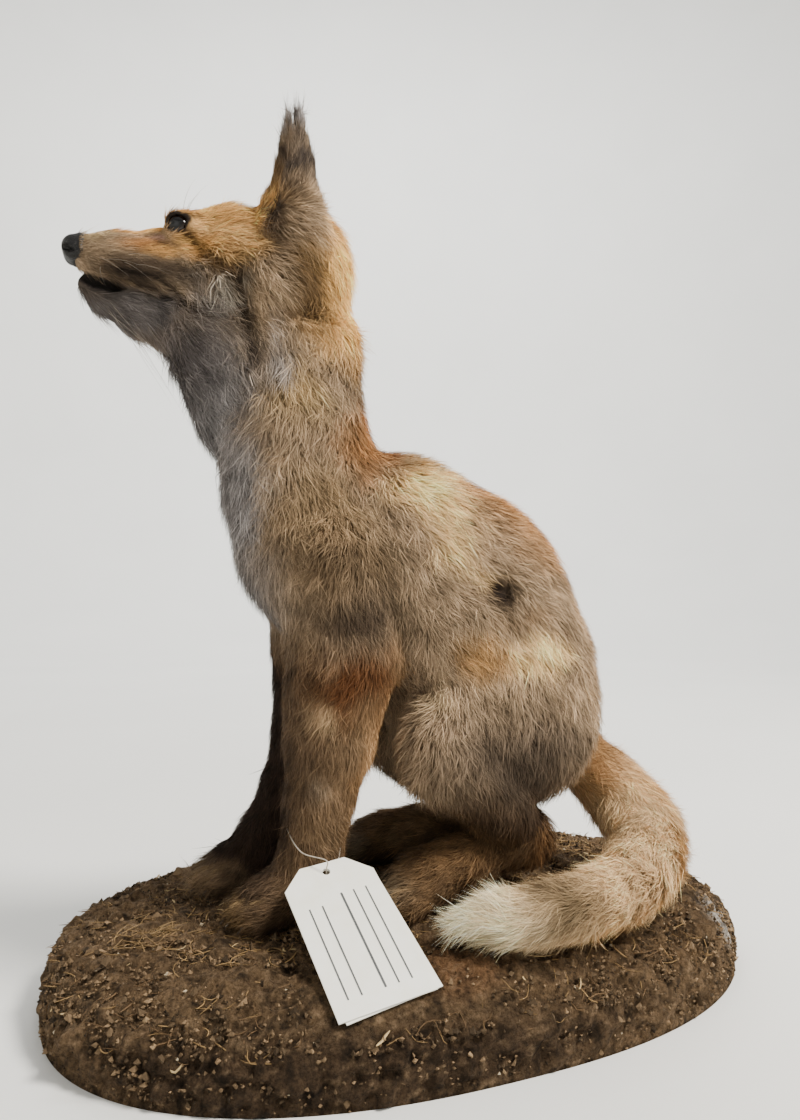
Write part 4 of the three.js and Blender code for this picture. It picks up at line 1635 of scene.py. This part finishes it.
@dataclass
class Locks:
    """Some locks of hair on their way to a mesh.

    Args:
        roots: Where they grow.
        normals: The skin's normals there.
        lie: Which way the hair runs.
        coat: Depth of the coat.
        limb: The limb they are on.
        part: The coat piece that they belong to.
        thicker: Factor on their width.
    """

    roots: Array
    normals: Array
    lie: Array
    coat: Array
    limb: Array
    part: Part
    thicker: float

    def _directions(self, rng: np.random.Generator) -> Array:
        """Lay the hair along the skin, with a little disorder.

        Args:
            rng: The source of randomness.

        Returns:
            Which way each lock runs along the skin.
        """
        n = self.normals
        flow = self.lie - (self.lie * n).sum(axis=1, keepdims=True) * n
        flow = unit(flow + 1e-4)
        turn = 0.5 * noise(self.roots, 13.0, 60) + 0.62 * noise(self.roots, 5.0, 61)
        turn = turn * np.interp(self.coat, [1.0, 3.0, 9.0], [0.25, 0.7, 1.0])
        turn += rng.normal(0.0, 0.27, len(n)) * np.interp(self.coat, [1.0, 4.0], [0.6, 1.0])
        side = np.cross(n, flow)
        return unit(flow * np.cos(turn)[:, None] + side * np.sin(turn)[:, None])

    def shape(self, markings: Markings, rng: np.random.Generator) -> Shape:
        """Make the locks' mesh.

        Args:
            markings: The rule for colours.
            rng: The source of randomness.

        Returns:
            The shape, with colours and bake patches.
        """
        flow, n = self._directions(rng), self.normals
        count = len(flow)
        depths = [1.0, 3.0, 7.0]
        tail = self.limb == Limb.TAIL.value
        stray = rng.random(count) < 0.05
        lift0 = np.interp(self.coat, depths, [0.30, 0.50, 0.74]) + rng.normal(0.0, 0.12, count)
        lift1 = np.interp(self.coat, depths, [0.10, 0.20, 0.36]) + rng.normal(0.0, 0.14, count)
        calm = np.where(tail, 0.72, 1.0)
        calm = np.where((self.roots[:, 1] < -100) & (self.roots[:, 2] < 345), 0.7, calm)
        lift0 = np.clip(lift0 * calm, 0.12, 1.2)
        lift1 = np.clip(lift1 * calm + 0.25 * stray, 0.02, 1.1)
        height = self.coat * rng.uniform(0.66, 1.06, count) * np.where(stray, 1.3, 1.0)
        length = np.clip(height / (0.5 * np.sin(lift0) + 0.5 * np.sin(lift1)), 2.0, 21.0)
        width = np.interp(self.coat, depths, [0.27, 0.31, 0.35]) * self.thicker
        width = width * np.where(tail, 0.7, 1.0)
        width = width * rng.uniform(0.65, 1.25, count) * np.where(stray, 0.6, 1.0)

        def along(lift: Array) -> Array:
            """Give the way of a stretch that stands off the skin by an angle."""
            return flow * np.cos(lift)[:, None] + n * np.sin(lift)[:, None]

        start = self.roots - 0.4 * n
        bend = start + along(lift0) * (0.5 * length)[:, None]
        tip = bend + along(lift1) * (0.5 * length)[:, None]
        curl = 0.34 * noise(self.roots, 6.5, 62) + rng.normal(0.0, 0.16, count)
        tip = tip + np.cross(n, flow) * (curl * 0.5 * length)[:, None]
        loose = np.where(stray, 0.2, 1.0) * np.where(tail, 0.22, 1.0)
        for size, share, _ in CLUMPS:
            pull = nearest_seed(self.roots, size, 90) - self.roots
            pull -= (pull * n).sum(axis=1, keepdims=True) * n
            gather = (np.interp(self.coat, [1.0, 4.0, 8.0], [0.3, 0.7, 1.0]) * share * loose)[:, None]
            bend = bend + 0.35 * gather * pull
            tip = tip + gather * pull
        for row in (bend, tip):
            row[:, 2] = np.maximum(row[:, 2], GROUND + 0.6)
        way = unit(tip - start)
        across = unit(np.cross(way, n))
        lean = rng.normal(0.0, 0.45, count)[:, None]
        across = across * np.cos(lean) + np.cross(across, way) * np.sin(lean)
        w = (0.5 * width)[:, None]
        rows = [
            start - across * w * 0.8, start + across * w * 0.8, bend - across * w,
            bend + across * w, tip,
        ]
        s = np.array([0.0, 1.0, 0.0, 1.0, 0.5])
        t = np.array([0.0, 0.0, 0.5, 0.5, 1.0])
        verts = np.stack(rows, axis=1).reshape(-1, 3)
        faces = repeated([(0, 1, 3), (0, 3, 2), (2, 3, 4)], count, len(rows))
        colours = self._colours(markings, rng, bend, t)
        corner = self.part.unwrap(self.roots)
        patch = np.stack([s, t], axis=1) * LOCK_PATCH
        uvs = (corner[:, None] + patch[None]).reshape(-1, 2)
        return Shape(verts, faces, colours.reshape(-1, 3), uvs)

    def _colours(self, markings: Markings, rng: np.random.Generator, bend: Array, t: Array) -> Array:
        """Colour each lock from root to tip.

        Args:
            markings: The rule for colours.
            rng: The source of randomness.
            bend: Where each lock bends.
            t: How far up a lock each of its corners is, from 0 to 1.

        Returns:
            Linear colours, by lock and corner.
        """
        count = len(bend)
        tone = markings.colour(self.roots * 0.6 + bend * 0.4, self.limb)
        clump = np.zeros(count)
        for size, _, share in CLUMPS:
            clump += share * (hashed(np.floor(nearest_seed(self.roots, size, 90) * 3.7), 5) - 0.5)
        clump *= np.interp(self.coat, [1.0, 4.0], [0.95, 1.0])
        clump *= np.where(self.limb == Limb.TAIL.value, 0.5, 1.0)
        tone = tone * np.exp(rng.normal(0.0, 0.22, count) + clump)[:, None]
        dark = rng.random(count) < np.interp(self.coat, [1.0, 3.0, 8.0], [0.12, 0.2, 0.24])
        pale = rng.random(count) < 0.2
        tip = tone * np.where(dark, 0.5, 1.2)[:, None]
        tip = np.where(pale[:, None], tone * 1.3 + 0.06 * tone.mean(axis=1, keepdims=True), tip)
        # painted shade: each lock darkens towards its root, the more where the coat is deeper, as shade
        # deep in the coat; less on the tail
        shade = np.interp(self.coat, [1.0, 3.0, 9.0], [0.78, 0.52, 0.36])
        shade = np.where(self.limb == Limb.TAIL.value, 0.8, shade)
        root = tone * shade[:, None]
        t = t[None, :, None]
        made = np.where(
            t < 0.5,
            root[:, None] + (tone - root)[:, None] * (t / 0.5),
            tone[:, None] + (tip - tone)[:, None] * ((t - 0.5) / 0.5),
        )
        return np.clip(made, 0.0, 1.0)


# ---- small parts
def ball(centre: Array, radius: float, rings: int, sides: int) -> Shape:
    """Make a sphere of quads.

    Args:
        centre: Its centre.
        radius: Its radius.
        rings: Rings from pole to pole.
        sides: Steps round it.

    Returns:
        The shape.
    """
    verts = []
    for i in range(rings + 1):
        a = math.pi * (i + 0.02) / (rings + 0.04)
        for j in range(sides):
            b = 2.0 * math.pi * j / sides
            verts.append([math.sin(a) * math.cos(b), math.sin(a) * math.sin(b), math.cos(a)])
    return Shape(np.array(verts) * radius + centre, bands(rings + 1, sides)[:, ::-1])


def tube(path: Array, radii: Array, sides: int) -> Shape:
    """Sweep a round tube along a path.

    Args:
        path: Its points.
        radii: The radius at each.
        sides: Sides of its section.

    Returns:
        The shape, open at its ends.
    """
    way = unit(np.gradient(path, axis=0))
    guide = np.array([0.0, 0.0, 1.0]) if abs(way[0, 2]) < 0.8 else np.array([1.0, 0.0, 0.0])
    side = unit(np.cross(way, guide))
    up = np.cross(side, way)
    turn = 2.0 * np.pi * np.arange(sides) / sides
    ring = side[:, None] * np.cos(turn)[None, :, None] + up[:, None] * np.sin(turn)[None, :, None]
    verts = (path[:, None] + ring * radii[:, None, None]).reshape(-1, 3)
    return Shape(verts, bands(len(path), sides))


class Face:
    """The eyes, nose, whiskers and claws."""

    def eye(self, name: str, side: float) -> Piece:
        """Make a glass eye.

        Args:
            name: Its name.
            side: 1 for the left, -1 for the right.

        Returns:
            The object.
        """
        flip = np.array([side, 1.0, 1.0])
        centre = np.array(EYE.centre) * flip
        made = ball(centre, EYE.radius, 28, 40)
        out = EYE.axes()[0] * flip
        facing = unit(made.verts - centre) @ out
        iris = smoothstep(0.60, 0.68, facing)
        pupil = smoothstep(0.84, 0.88, facing)
        tone = mixed(np.tile(srgb(12, 9, 8), (len(facing), 1)), srgb(34, 22, 15), iris)
        made.colours = mixed(tone, srgb(4, 3, 3), pupil)
        return made.to_object(name, GLASS_EYE)

    def nose(self) -> Piece:
        """Make the nose with its nostrils and the groove below them.

        Returns:
            The object.
        """

        def distance(p: Array) -> Array:
            """Measure distance from the nose.

            Args:
                p: The points.

            Returns:
                Signed distances.
            """
            pad = Bone((0, -168.6, 365.2), (0, -171.2, 365.0), 7.0, 6.2).distance(p)
            wing = Bone((3.6, -169.6, 361.8), (3.9, -172.2, 361.2), 4.6, 3.8, both=True).distance(p)
            d = melted(pad, wing, 3.0)
            low = Bone((0, -171.4, 359.4), (0, -170.4, 357.4), 3.0, 2.0).distance(p)
            d = melted(d, low, 3.0)
            hole = Bone((3.3, -178.6, 363.4), (5.4, -172.0, 362.6), 1.3, 1.9, both=True).distance(p)
            slot = Bone((5.2, -175.5, 362.2), (8.8, -170.6, 360.4), 1.2, 0.8, both=True).distance(p)
            d = np.maximum(d, -np.minimum(hole, slot))
            groove = np.maximum(np.abs(p[:, 0]) - 0.45, p[:, 2] - 363.0)
            groove = np.maximum(groove, -(d + 1.6))
            return np.maximum(d, -groove)

        verts, quads = mesh_level(
            distance, np.array([-12.0, -180.0, 349.0]), np.array([12.0, -158.0, 377.0]), 0.42
        )
        return Shape(verts, quads).to_object("nose_pad", NOSE_LEATHER)

    def whiskers(self) -> Piece:
        """Make the whiskers of the lip, chin and brow.

        Returns:
            The object.
        """
        rng = np.random.default_rng(SEED + 1)
        sets = [
            ((9.5, -152, 357), (0.75, 0.30, -0.25), 7, 38.0, 5.0),
            ((6.0, -152, 337), (0.35, 0.55, -0.85), 6, 50.0, 5.0),
            ((12.0, -118, 383), (0.25, 0.30, 0.95), 3, 26.0, 2.5),
        ]
        shapes = []
        for side in (1.0, -1.0):
            for root, way, count, length, spread in sets:
                for _ in range(count):
                    start = np.array(root) + rng.normal(0.0, spread, 3) * (0.15, 1.0, 0.45)
                    aim = unit((np.array(way) + rng.normal(0.0, 0.16, 3))[None])[0]
                    t = np.linspace(0.0, 1.0, 9)[:, None]
                    size = length * rng.uniform(0.55, 1.05)
                    sag = np.array([0.0, 0.18, -0.24]) * size * t**2
                    path = (start + aim * size * t + sag) * np.array([side, 1.0, 1.0])
                    radii = 0.11 * (1.0 - 0.85 * t[:, 0])
                    shapes.append(tube(path, radii, 4))
        return merged(shapes).to_object("whiskers", WHISKER)

    def claws(self) -> Piece:
        """Make a claw on every toe.

        Returns:
            The object.
        """
        shapes = []
        t = np.linspace(0.0, 1.0, 8)[:, None]
        for paw in PAWS.values():
            for root in paw.ends(6.4, paw.toe - 4.0):
                path = root + paw.ahead() * 7.6 * t + np.array([0, 0, 1.0]) * (1.2 * t - 5.6 * t**2)
                shapes.append(tube(path, 1.25 * (1.0 - 0.9 * t[:, 0] ** 1.3), 8))
        return merged(shapes).to_object("claws", CLAW_HORN)


# ---- base and tag
@dataclass
class Base:
    """The oval base spread with earth.

    Args:
        length: Along Y.
        width: Along X.
        turn: Degrees that the oval is turned.
        roll: How far in the wall rolls on to the top.
        rim: Where the wall starts to roll.
        squareness: 2 for an ellipse, and more for fuller corners.
    """

    length: float = 364.0
    width: float = 244.0
    turn: float = 4.0
    roll: float = 40.0
    rim: float = 12.0
    squareness: float = 2.35

    def _point(self, angle: Array, inset: Array, z: Array) -> Array:
        """Place points round the oval.

        Args:
            angle: How far round each is, in radians.
            inset: How far in from the edge.
            z: Its height.

        Returns:
            The points.
        """
        c, s = np.cos(angle), np.sin(angle)
        power = 2.0 / self.squareness
        x = np.sign(c) * (self.width / 2 - inset) * np.abs(c) ** power
        y = np.sign(s) * (self.length / 2 - inset) * np.abs(s) ** power
        return np.stack([*turned(x, y, self.turn), z], axis=-1)

    def _wall(self, climb: Array) -> tuple[Array, Array]:
        """Follow the rolled wall from its upright foot, at 0, to the top, at a right angle."""
        return self.roll * (1 - np.cos(climb)), self.rim + (GROUND - self.rim) * np.sin(climb)

    def height(self, p: Array) -> Array:
        """Give the height of the earth's smooth surface over points.

        Args:
            p: The points.

        Returns:
            Heights, and far below nought beside the base.
        """
        x, y = turned(p[:, 0], p[:, 1], -self.turn)
        n = self.squareness
        size = ((np.abs(x) / (self.width / 2)) ** n + (np.abs(y) / (self.length / 2)) ** n) ** (1 / n)
        inset = (1.0 - size) * self.width / 2
        c = np.clip(1.0 - inset / self.roll, 0.0, 1.0)
        made = self.rim + (GROUND - self.rim) * np.sqrt(np.maximum(1.0 - c**2, 0.0))
        return np.where(size > 1.0, -1000.0, made)

    def _colour(self, p: Array) -> Array:
        """Colour points of the earth.

        Args:
            p: The points.

        Returns:
            Linear colours.
        """
        tone = np.tile(srgb(120, 97, 71), (len(p), 1))
        tone = mixed(tone, srgb(100, 82, 61), 0.5 * (0.5 + 0.5 * noise(p, 22.0, 5)))
        rusty = Patch((98, -10, 40), (34, 34, 14), srgb(146, 104, 70), 0.5, both=False)
        pale = Patch((68, 154, 27), (32, 18, 15), srgb(220, 211, 200), 0.95, both=False)
        # painted shade: a dark patch over the lower wall on the +X side
        shaded_side = Patch((116, -70, 12), (70, 200, 22), srgb(63, 49, 36), 0.85, both=False)
        tone = painted(tone, p, (rusty, pale, shaded_side))
        pit = smoothstep(0.0, 0.6, noise(p, 5.0, 8) * 0.6 + noise(p, 2.6, 9) * 0.6)
        fleck = smoothstep(0.25, 0.7, noise(p, 2.4, 10))
        tone = tone * (1.0 - 0.68 * pit)[:, None]
        return mixed(tone, srgb(156, 130, 100), 0.45 * fleck * (1.0 - pit))

    def build(self) -> Piece:
        """Make the base.

        Returns:
            The object.
        """
        sides, foot, wall, top = 600, 6, 34, 66
        angle = 2.0 * np.pi * np.arange(sides) / sides
        profile = [(0.0, self.rim * n / foot) for n in range(foot + 1)]
        profile += [self._wall(math.pi / 2 * n / wall) for n in range(1, wall + 1)]
        rings = [self._point(angle, np.full(sides, i), np.full(sides, z)) for i, z in profile]
        rings.insert(0, rings[0] * np.array([0.001, 0.001, 0.0]))
        last = rings[-1]
        for n in range(1, top + 1):
            t = 1.0 - n / (top + 0.35)
            rings.append(last * np.array([t, t, 1.0]))
        verts = np.concatenate(rings)
        made = Shape(verts, bands(len(rings), sides))
        n = made.vertex_normals()
        rough = 1.7 * noise(verts, 13.0, 1) + 1.7 * noise(verts, 5.5, 2) + 2.1 * noise(verts, 3.2, 3)
        rough += 1.6 * smoothstep(0.25, 0.7, noise(verts, 8.0, 6))
        rough -= 2.0 * smoothstep(0.3, 0.7, noise(verts, 6.0, 4))
        hold = smoothstep(0.0, 3.0, verts[:, 2]) * np.where(Tag().covers(verts), 0.25, 1.0)
        made.verts = verts + n * (rough * hold - 0.6 * hold)[:, None]
        made.verts[:, 2] = np.maximum(made.verts[:, 2], 0.0)
        made.colours = self._colour(made.verts)
        return made.to_object("base_earth", EARTH)

    def crumbs(self) -> Piece:
        """Scatter crumbs over the earth.

        Returns:
            The object.
        """
        rng = np.random.default_rng(SEED + 2)
        count = 19000
        angle = rng.random(count) * 2.0 * np.pi
        on_top = rng.random(count) < 0.54
        climb = np.where(on_top, np.pi / 2, np.arcsin(rng.random(count)))
        inset, z = self._wall(climb)
        z -= self.rim * (1.0 - rng.random(count)) * (climb < 0.3)  # some lie on the upright foot
        p = self._point(angle, inset, z)
        p[on_top, :2] *= np.sqrt(rng.random(int(on_top.sum())))[:, None]
        p = p[~Tag().covers(p)]
        count = len(p)
        size = np.exp(rng.normal(-0.36, 0.44, count))
        corners = np.array([[1, 0, 0], [-1, 0, 0], [0, 1, 0], [0, -1, 0], [0, 0, 1], [0, 0, -1]], float)
        shape = corners[None] * size[:, None, None] * rng.uniform(0.45, 1.3, (count, 6, 1))
        shape += rng.normal(0.0, 0.2, (count, 6, 3)) * size[:, None, None]
        verts = (p[:, None] + shape).reshape(-1, 3)
        upper = [(0, 2, 4), (2, 1, 4), (1, 3, 4), (3, 0, 4)]
        faces = repeated(upper + [(b, a, 5) for a, b, _ in upper], count, 6)
        light = rng.random(count)
        shade = np.clip(np.exp(rng.normal(-0.15, 0.7, count)), 0.2, 2.0)
        tone = srgb(100, 82, 61)[None] * shade[:, None]
        tone[light > 0.96] = srgb(146, 122, 92)
        tone[light > 0.994] = srgb(188, 172, 144)
        colours = np.repeat(np.clip(tone, 0, 1), 6, axis=0)
        verts[:, 2] = np.maximum(verts[:, 2], 0.05)
        return Shape(verts, faces, colours).to_object("base_crumbs", CRUMB, smooth=False)

    def _spot(self, rng: np.random.Generator) -> Array:
        """Pick a place on the smooth earth, mostly on the top.

        Args:
            rng: The source of randomness.

        Returns:
            The place.
        """
        on_top = rng.random() < 0.7
        climb = math.pi / 2 if on_top else math.asin(rng.random() * 0.98)
        inset, z = self._wall(climb)
        p = self._point(np.array([rng.random() * TURN]), np.array([inset]), np.array([z]))[0]
        if on_top:
            p[:2] *= math.sqrt(rng.random())
        return p

    def fibres(self) -> Piece:
        """Lay straw, a tuft of dry grass and fibres on the earth.

        Returns:
            The object.
        """
        rng = np.random.default_rng(SEED + 3)
        shapes = []
        for number in range(2600):
            straw = number < 90
            tuft = 90 <= number < 150
            if tuft:
                p = np.array([28.0, -134.0, GROUND + 0.5]) + rng.normal(0.0, 7.0, 3) * (1, 1, 0.05)
            else:
                p = self._spot(rng)
            length = rng.uniform(*((6, 20) if tuft else (3, 9) if straw else (4, 15)))
            head = rng.random() * 2.0 * np.pi
            t = np.linspace(-0.5, 0.5, 5)[:, None]
            curl = rng.normal(0.0, 0.5)
            way = np.array([math.cos(head), math.sin(head), rng.normal(0.0, 0.12) + (0.3 if tuft else 0.0)])
            side = np.array([-way[1], way[0], 0.0])
            path = p + length * (way * t + side * curl * t**2)
            top = self.height(path)
            if top.min() < 0 or Tag().covers(path).any():
                continue
            path[:, 2] = np.maximum(path[:, 2], top + 0.35) + 0.5 * rng.random()
            radius = rng.uniform(0.28, 0.6) if straw else rng.uniform(0.14, 0.3)
            made = tube(path, radius * np.array([0.5, 1, 1, 1, 0.4]), 3)
            tone = srgb(112, 88, 62) if rng.random() < 0.5 else srgb(160, 130, 88)
            if straw:
                tone = srgb(204, 178, 132)
            elif tuft:
                tone = srgb(146, 120, 84)
            made.colours = np.tile(tone * rng.uniform(0.7, 1.15), (len(made.verts), 1))
            shapes.append(made)
        return merged(shapes).to_object("base_fibres", CRUMB)


@dataclass
class Tag:
    """The hang tag: two cards on a thread.

    Args:
        foot: Middle of the front card's lower edge.
        across: Along its lower edge.
        up: Up its length.
        width: A card's width.
        length: Its length.
        corner: What is cut off its upper corners.
        thick: Its thickness.
        hole: Radius of its hole.
        hole_down: How far the hole is below the upper edge.
        string: Thickness of the thread.
    """

    foot: Vec3 = (111.2, -44.8, 32.4)
    across: Vec3 = (-0.121, 0.986, 0.116)
    up: Vec3 = (-0.861, -0.162, 0.482)
    width: float = 43.5
    length: float = 77.0
    corner: float = 10.5
    thick: float = 0.7
    hole: float = 1.8
    hole_down: float = 5.4
    string: float = 0.6

    def _frame(self) -> tuple[Array, Array, Array]:
        """Give the front card's own axes.

        Returns:
            Across it, up it and out of it.
        """
        across = unit(np.array([self.across]))[0]
        out = unit(np.cross(across, np.array(self.up))[None])[0]
        return across, np.cross(out, across), out

    def _hole(self) -> Array:
        """Give the middle of the hole in the card's plane."""
        return np.array([0.0, self.length - self.hole_down])

    def _curl(self, uvw: Array) -> Array:
        """Say how far the card curls back at points across, up and out of it."""
        ends, sides = (uvw[:, 1] / self.length - 0.5) ** 2, (uvw[:, 0] / (self.width / 2)) ** 2
        return 0.35 * (0.9 * ends + 0.25 * sides - 0.2)

    def covers(self, p: Array) -> Array:
        """Say which points the cards lie on or pass through.

        Args:
            p: The points.

        Returns:
            True for each such point.
        """
        across, up, out = self._frame()
        q = p - np.array(self.foot)
        u, v, w = q @ across, q @ up, q @ out
        beside = (v > -9) & (v < self.length + 4)
        return (np.abs(u) < self.width / 2 + 8) & beside & (np.abs(w) < 6)

    def place(self, uvw: Array, lift: float, turn: float) -> Array:
        """Put points of the card's own plane into the model.

        Args:
            uvw: Points across, up and out of the card.
            lift: How far the card is moved out.
            turn: Degrees that it is turned about its hole.

        Returns:
            The points.
        """
        across, up, out = self._frame()
        q = np.stack(turned(*(uvw[:, :2] - self._hole()).T, turn), axis=1) + self._hole()
        return np.array(self.foot) + q[:, :1] * across + q[:, 1:] * up + (uvw[:, 2:] + lift) * out

    def card(self, name: str, lift: float, turn: float) -> Piece:
        """Make a card with softened edges and a punched hole.

        Args:
            name: Its name.
            lift: How far it is moved out.
            turn: Degrees that it is turned about its hole.

        Returns:
            The object.
        """
        half, hole, steps = self.width / 2, self._hole(), 96
        outline = np.array([
            (-half, 0), (half, 0), (half, self.length - self.corner), (half - self.corner, self.length),
            (self.corner - half, self.length), (-half, self.length - self.corner),
        ])
        out = (np.roll(outline, -1, axis=0) - outline)[:, ::-1] * (1, -1)  # out of each side
        angle = 2.0 * np.pi * np.arange(steps) / steps
        way = np.stack([np.cos(angle), np.sin(angle)], axis=1)
        facing = np.maximum(way @ out.T, 1e-9)
        outer = hole + way * (((outline - hole) * out).sum(axis=1) / facing).min(axis=1)[:, None]
        for corner in outline:
            outer[np.linalg.norm(outer - corner, axis=1).argmin()] = corner
        way = unit(outer - hole)
        inner = hole + way * self.hole
        soft = 0.14
        rings = [
            (inner, soft), (inner + way * soft, 0.0), (outer - way * soft, 0.0), (outer, soft),
            (outer, self.thick - soft), (outer - way * soft, self.thick),
            (inner + way * soft, self.thick), (inner, self.thick - soft),
        ]
        uvw = np.concatenate([np.column_stack([r, np.full(steps, z)]) for r, z in rings])
        uvw[:, 2] -= self._curl(uvw)
        faces = bands(len(rings), steps, closed=True)[:, ::-1]
        return Shape(self.place(uvw, lift, turn), faces).to_object(name, CARD, smooth=False)

    def ruling(self) -> Piece:
        """Print a few plain ruled lines on the front card.

        Returns:
            The object.
        """
        low, steps, shapes = 8.0, 20, []
        for x, high, wide in (
            (-14.5, 54.0, 0.35), (-8.5, 54.0, 0.35), (2.0, 58.0, 0.5), (8.0, 58.0, 0.35), (14.0, 58.0, 0.35)
        ):
            t = np.linspace(low, high, steps)
            edges = [np.column_stack([np.full(steps, u), t, 0.0 * t]) for u in (x - wide, x + wide)]
            uvw = np.concatenate(edges)
            uvw[:, 2] = self.thick + 0.06 - self._curl(uvw)
            faces = np.array([[n, n + steps, n + steps + 1, n + 1] for n in range(steps - 1)])
            shapes.append(Shape(self.place(uvw, 0.0, 0.0), faces))
        return merged(shapes).to_object("tag_ruling", INK)

    def _route(self) -> Array:
        """Lead the thread out of the coat, through both holes and back round the wrist.

        Returns:
            The points that it follows.
        """
        high = self.length - self.hole_down
        through = np.array([[0, high + 2, 6.0], [0, high, 2.5], [0, high, -2.5], [0, high + 2, -5.0]])
        out = [(17.5, -58, 84.5), (15, -63.5, 83.5), (23, -69.5, 84), (33, -71, 82), (42.5, -66.5, 75)]
        back = [(43, -50, 68), (36, -46.5, 73), (27, -45.5, 78), (16, -50.5, 80.5), (17.5, -56, 80.5)]
        knots = [*out, *self.place(through, 0.0, 0.0).tolist(), *back]
        return np.array([point for point, _ in eased([(knot, 0.0) for knot in knots], 10)])

    def thread(self) -> Piece:
        """Make the thread that ties the cards to the wrist, sunk in the coat.

        Returns:
            The object.
        """
        line = self._route()
        made = tube(line, np.full(len(line), self.string / 2), 8).to_object("thread", THREAD)
        return made


# ---- studio
@dataclass
class Studio:
    """The camera, the lights and the plain floor.

    Args:
        eye: Where the camera stands, in metres.
        azimuth: Degrees that it is turned from +Y towards -X.
        pitch: Radians that it looks up.
        lens: Its focal length.
        film: The longer side of its film.
        flat: Radius of the floor where it is flat.
        sweep: Radius of its curve up to the backdrop.
        top: Height of the backdrop.
    """

    eye: Vec3 = (0.43907, -0.14697, 0.200)
    azimuth: float = 72.0
    pitch: float = 0.03
    lens: float = 27.321429
    film: float = 36.0
    flat: float = 1900.0
    sweep: float = 1300.0
    top: float = 3500.0

    def camera(self) -> None:
        """Set the camera at the level of the body, beside the fox."""
        data = bpy.data.cameras.new("camera")
        data.sensor_width = self.film
        data.lens = self.lens
        camera = bpy.data.objects.new("camera", data)
        camera.location = self.eye
        azimuth, level = math.radians(self.azimuth), math.cos(self.pitch)
        way = Vector((-math.sin(azimuth) * level, math.cos(azimuth) * level, math.sin(self.pitch)))
        camera.rotation_mode = "QUATERNION"
        camera.rotation_quaternion = way.to_track_quat("-Z", "Y")
        data.clip_start = 0.01
        bpy.context.scene.collection.objects.link(camera)
        bpy.context.scene.camera = camera

    def _lamp(
        self, name: str, place: Vec3, aim: Vec3, size: float, power: float, colour: Vec3
    ) -> None:
        """Hang a round lamp.

        Args:
            name: Its name.
            place: Where it hangs, in metres.
            aim: The place that it faces.
            size: Its width in metres.
            power: Its power in watts.
            colour: Its linear colour.
        """
        data = bpy.data.lights.new(name, "AREA")
        data.shape = "DISK"
        data.size = size
        data.energy = power
        data.color = colour
        lamp = bpy.data.objects.new(name, data)
        lamp.location = place
        lamp.rotation_mode = "QUATERNION"
        lamp.rotation_quaternion = (Vector(aim) - Vector(place)).to_track_quat("-Z", "Y")
        bpy.context.scene.collection.objects.link(lamp)

    def lights(self) -> None:
        """Hang the lamps and set the room's own light."""
        self._lamp("key", (0.64, 0.8, 1.5), (0, 0, 0.2), 0.5, 52.0, (1.0, 0.95, 0.87))
        self._lamp("fill", (1.3, -0.9, 0.8), (0, 0, 0.2), 1.2, 2.5, (0.92, 0.96, 1.0))
        self._lamp("wash", (-1.3, 0.35, 2.3), (-2.8, 0.8, 0.9), 1.4, 70.0, (1.0, 1.0, 1.0))
        world = bpy.data.worlds.new("room")
        bpy.context.scene.world = world
        world.use_nodes = True
        background = world.node_tree.nodes["Background"]
        background.inputs["Color"].default_value = (1.0, 0.985, 0.96, 1.0)
        background.inputs["Strength"].default_value = 0.6

    def floor(self) -> Piece:
        """Make the floor with a backdrop that curves up far behind.

        Returns:
            The object.
        """
        sides, steps = 96, 24
        profile = [(0.0, 0.0), (self.flat, 0.0)]
        for n in range(1, steps + 1):
            a = math.pi / 2 * n / steps
            profile.append((self.flat + self.sweep * math.sin(a), self.sweep * (1.0 - math.cos(a))))
        profile.append((self.flat + self.sweep, self.top))
        turn = 2.0 * np.pi * np.arange(sides) / sides
        verts = np.concatenate(
            [np.column_stack([r * np.cos(turn), r * np.sin(turn), np.full(sides, z)]) for r, z in profile]
        )
        return Shape(verts, bands(len(profile), sides)[:, ::-1]).to_object("floor", FLOOR)


# ---- the model
FLESH = (
    "head", "jaw", "ear_left", "ear_right", "neck", "trunk", "foreleg_left", "foreleg_right",
    "forepaw_left", "forepaw_right", "thigh_left", "thigh_right", "hindfoot_left",
    "hindfoot_right", "tail_root", "tail_middle", "tail_tip",
)


def put(piece: Piece, slot: str, *nodes: str) -> None:
    """Fix a piece to the model.

    Args:
        piece: The piece.
        slot: The name of a material slot; not used.
        *nodes: The CAD nodes that it stands for.
    """
    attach(piece, "root")
    if nodes:
        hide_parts(*nodes)
    LOG.info("%s: %d faces", piece.name, len(piece.data.polygons))


def main() -> None:
    """Build the model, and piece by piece."""
    logging.basicConfig(level=logging.INFO, format="%(message)s")
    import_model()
    studio = Studio()
    studio.camera()
    studio.lights()
    tag = Tag()
    put(tag.thread(), "tag_thread", "tag_thread")
    body = BodyField.fox()
    markings = Markings()
    skin = Skin(body, markings, detail=1.15)
    put(skin.build(), "coat", *FLESH)
    coat = Coat(skin)
    for piece in coat.build():
        put(piece, "coat")
    face = Face()
    put(face.eye("eyeball_left", 1.0), "glass_eye", "eye_left")
    put(face.eye("eyeball_right", -1.0), "glass_eye", "eye_right")
    put(face.nose(), "nose_leather", "nose")
    put(face.whiskers(), "coat")
    put(face.claws(), "coat")
    base = Base()
    put(base.build(), "earth", "base")
    put(base.crumbs(), "earth")
    put(base.fibres(), "earth")
    put(tag.card("card_front", 0.0, 0.0), "tag_card", "tag_front")
    put(tag.card("card_back", -1.0, 2.5), "tag_card", "tag_back")
    put(tag.ruling(), "tag_card")
    studio.floor()


if __name__ == "__main__":
    main()
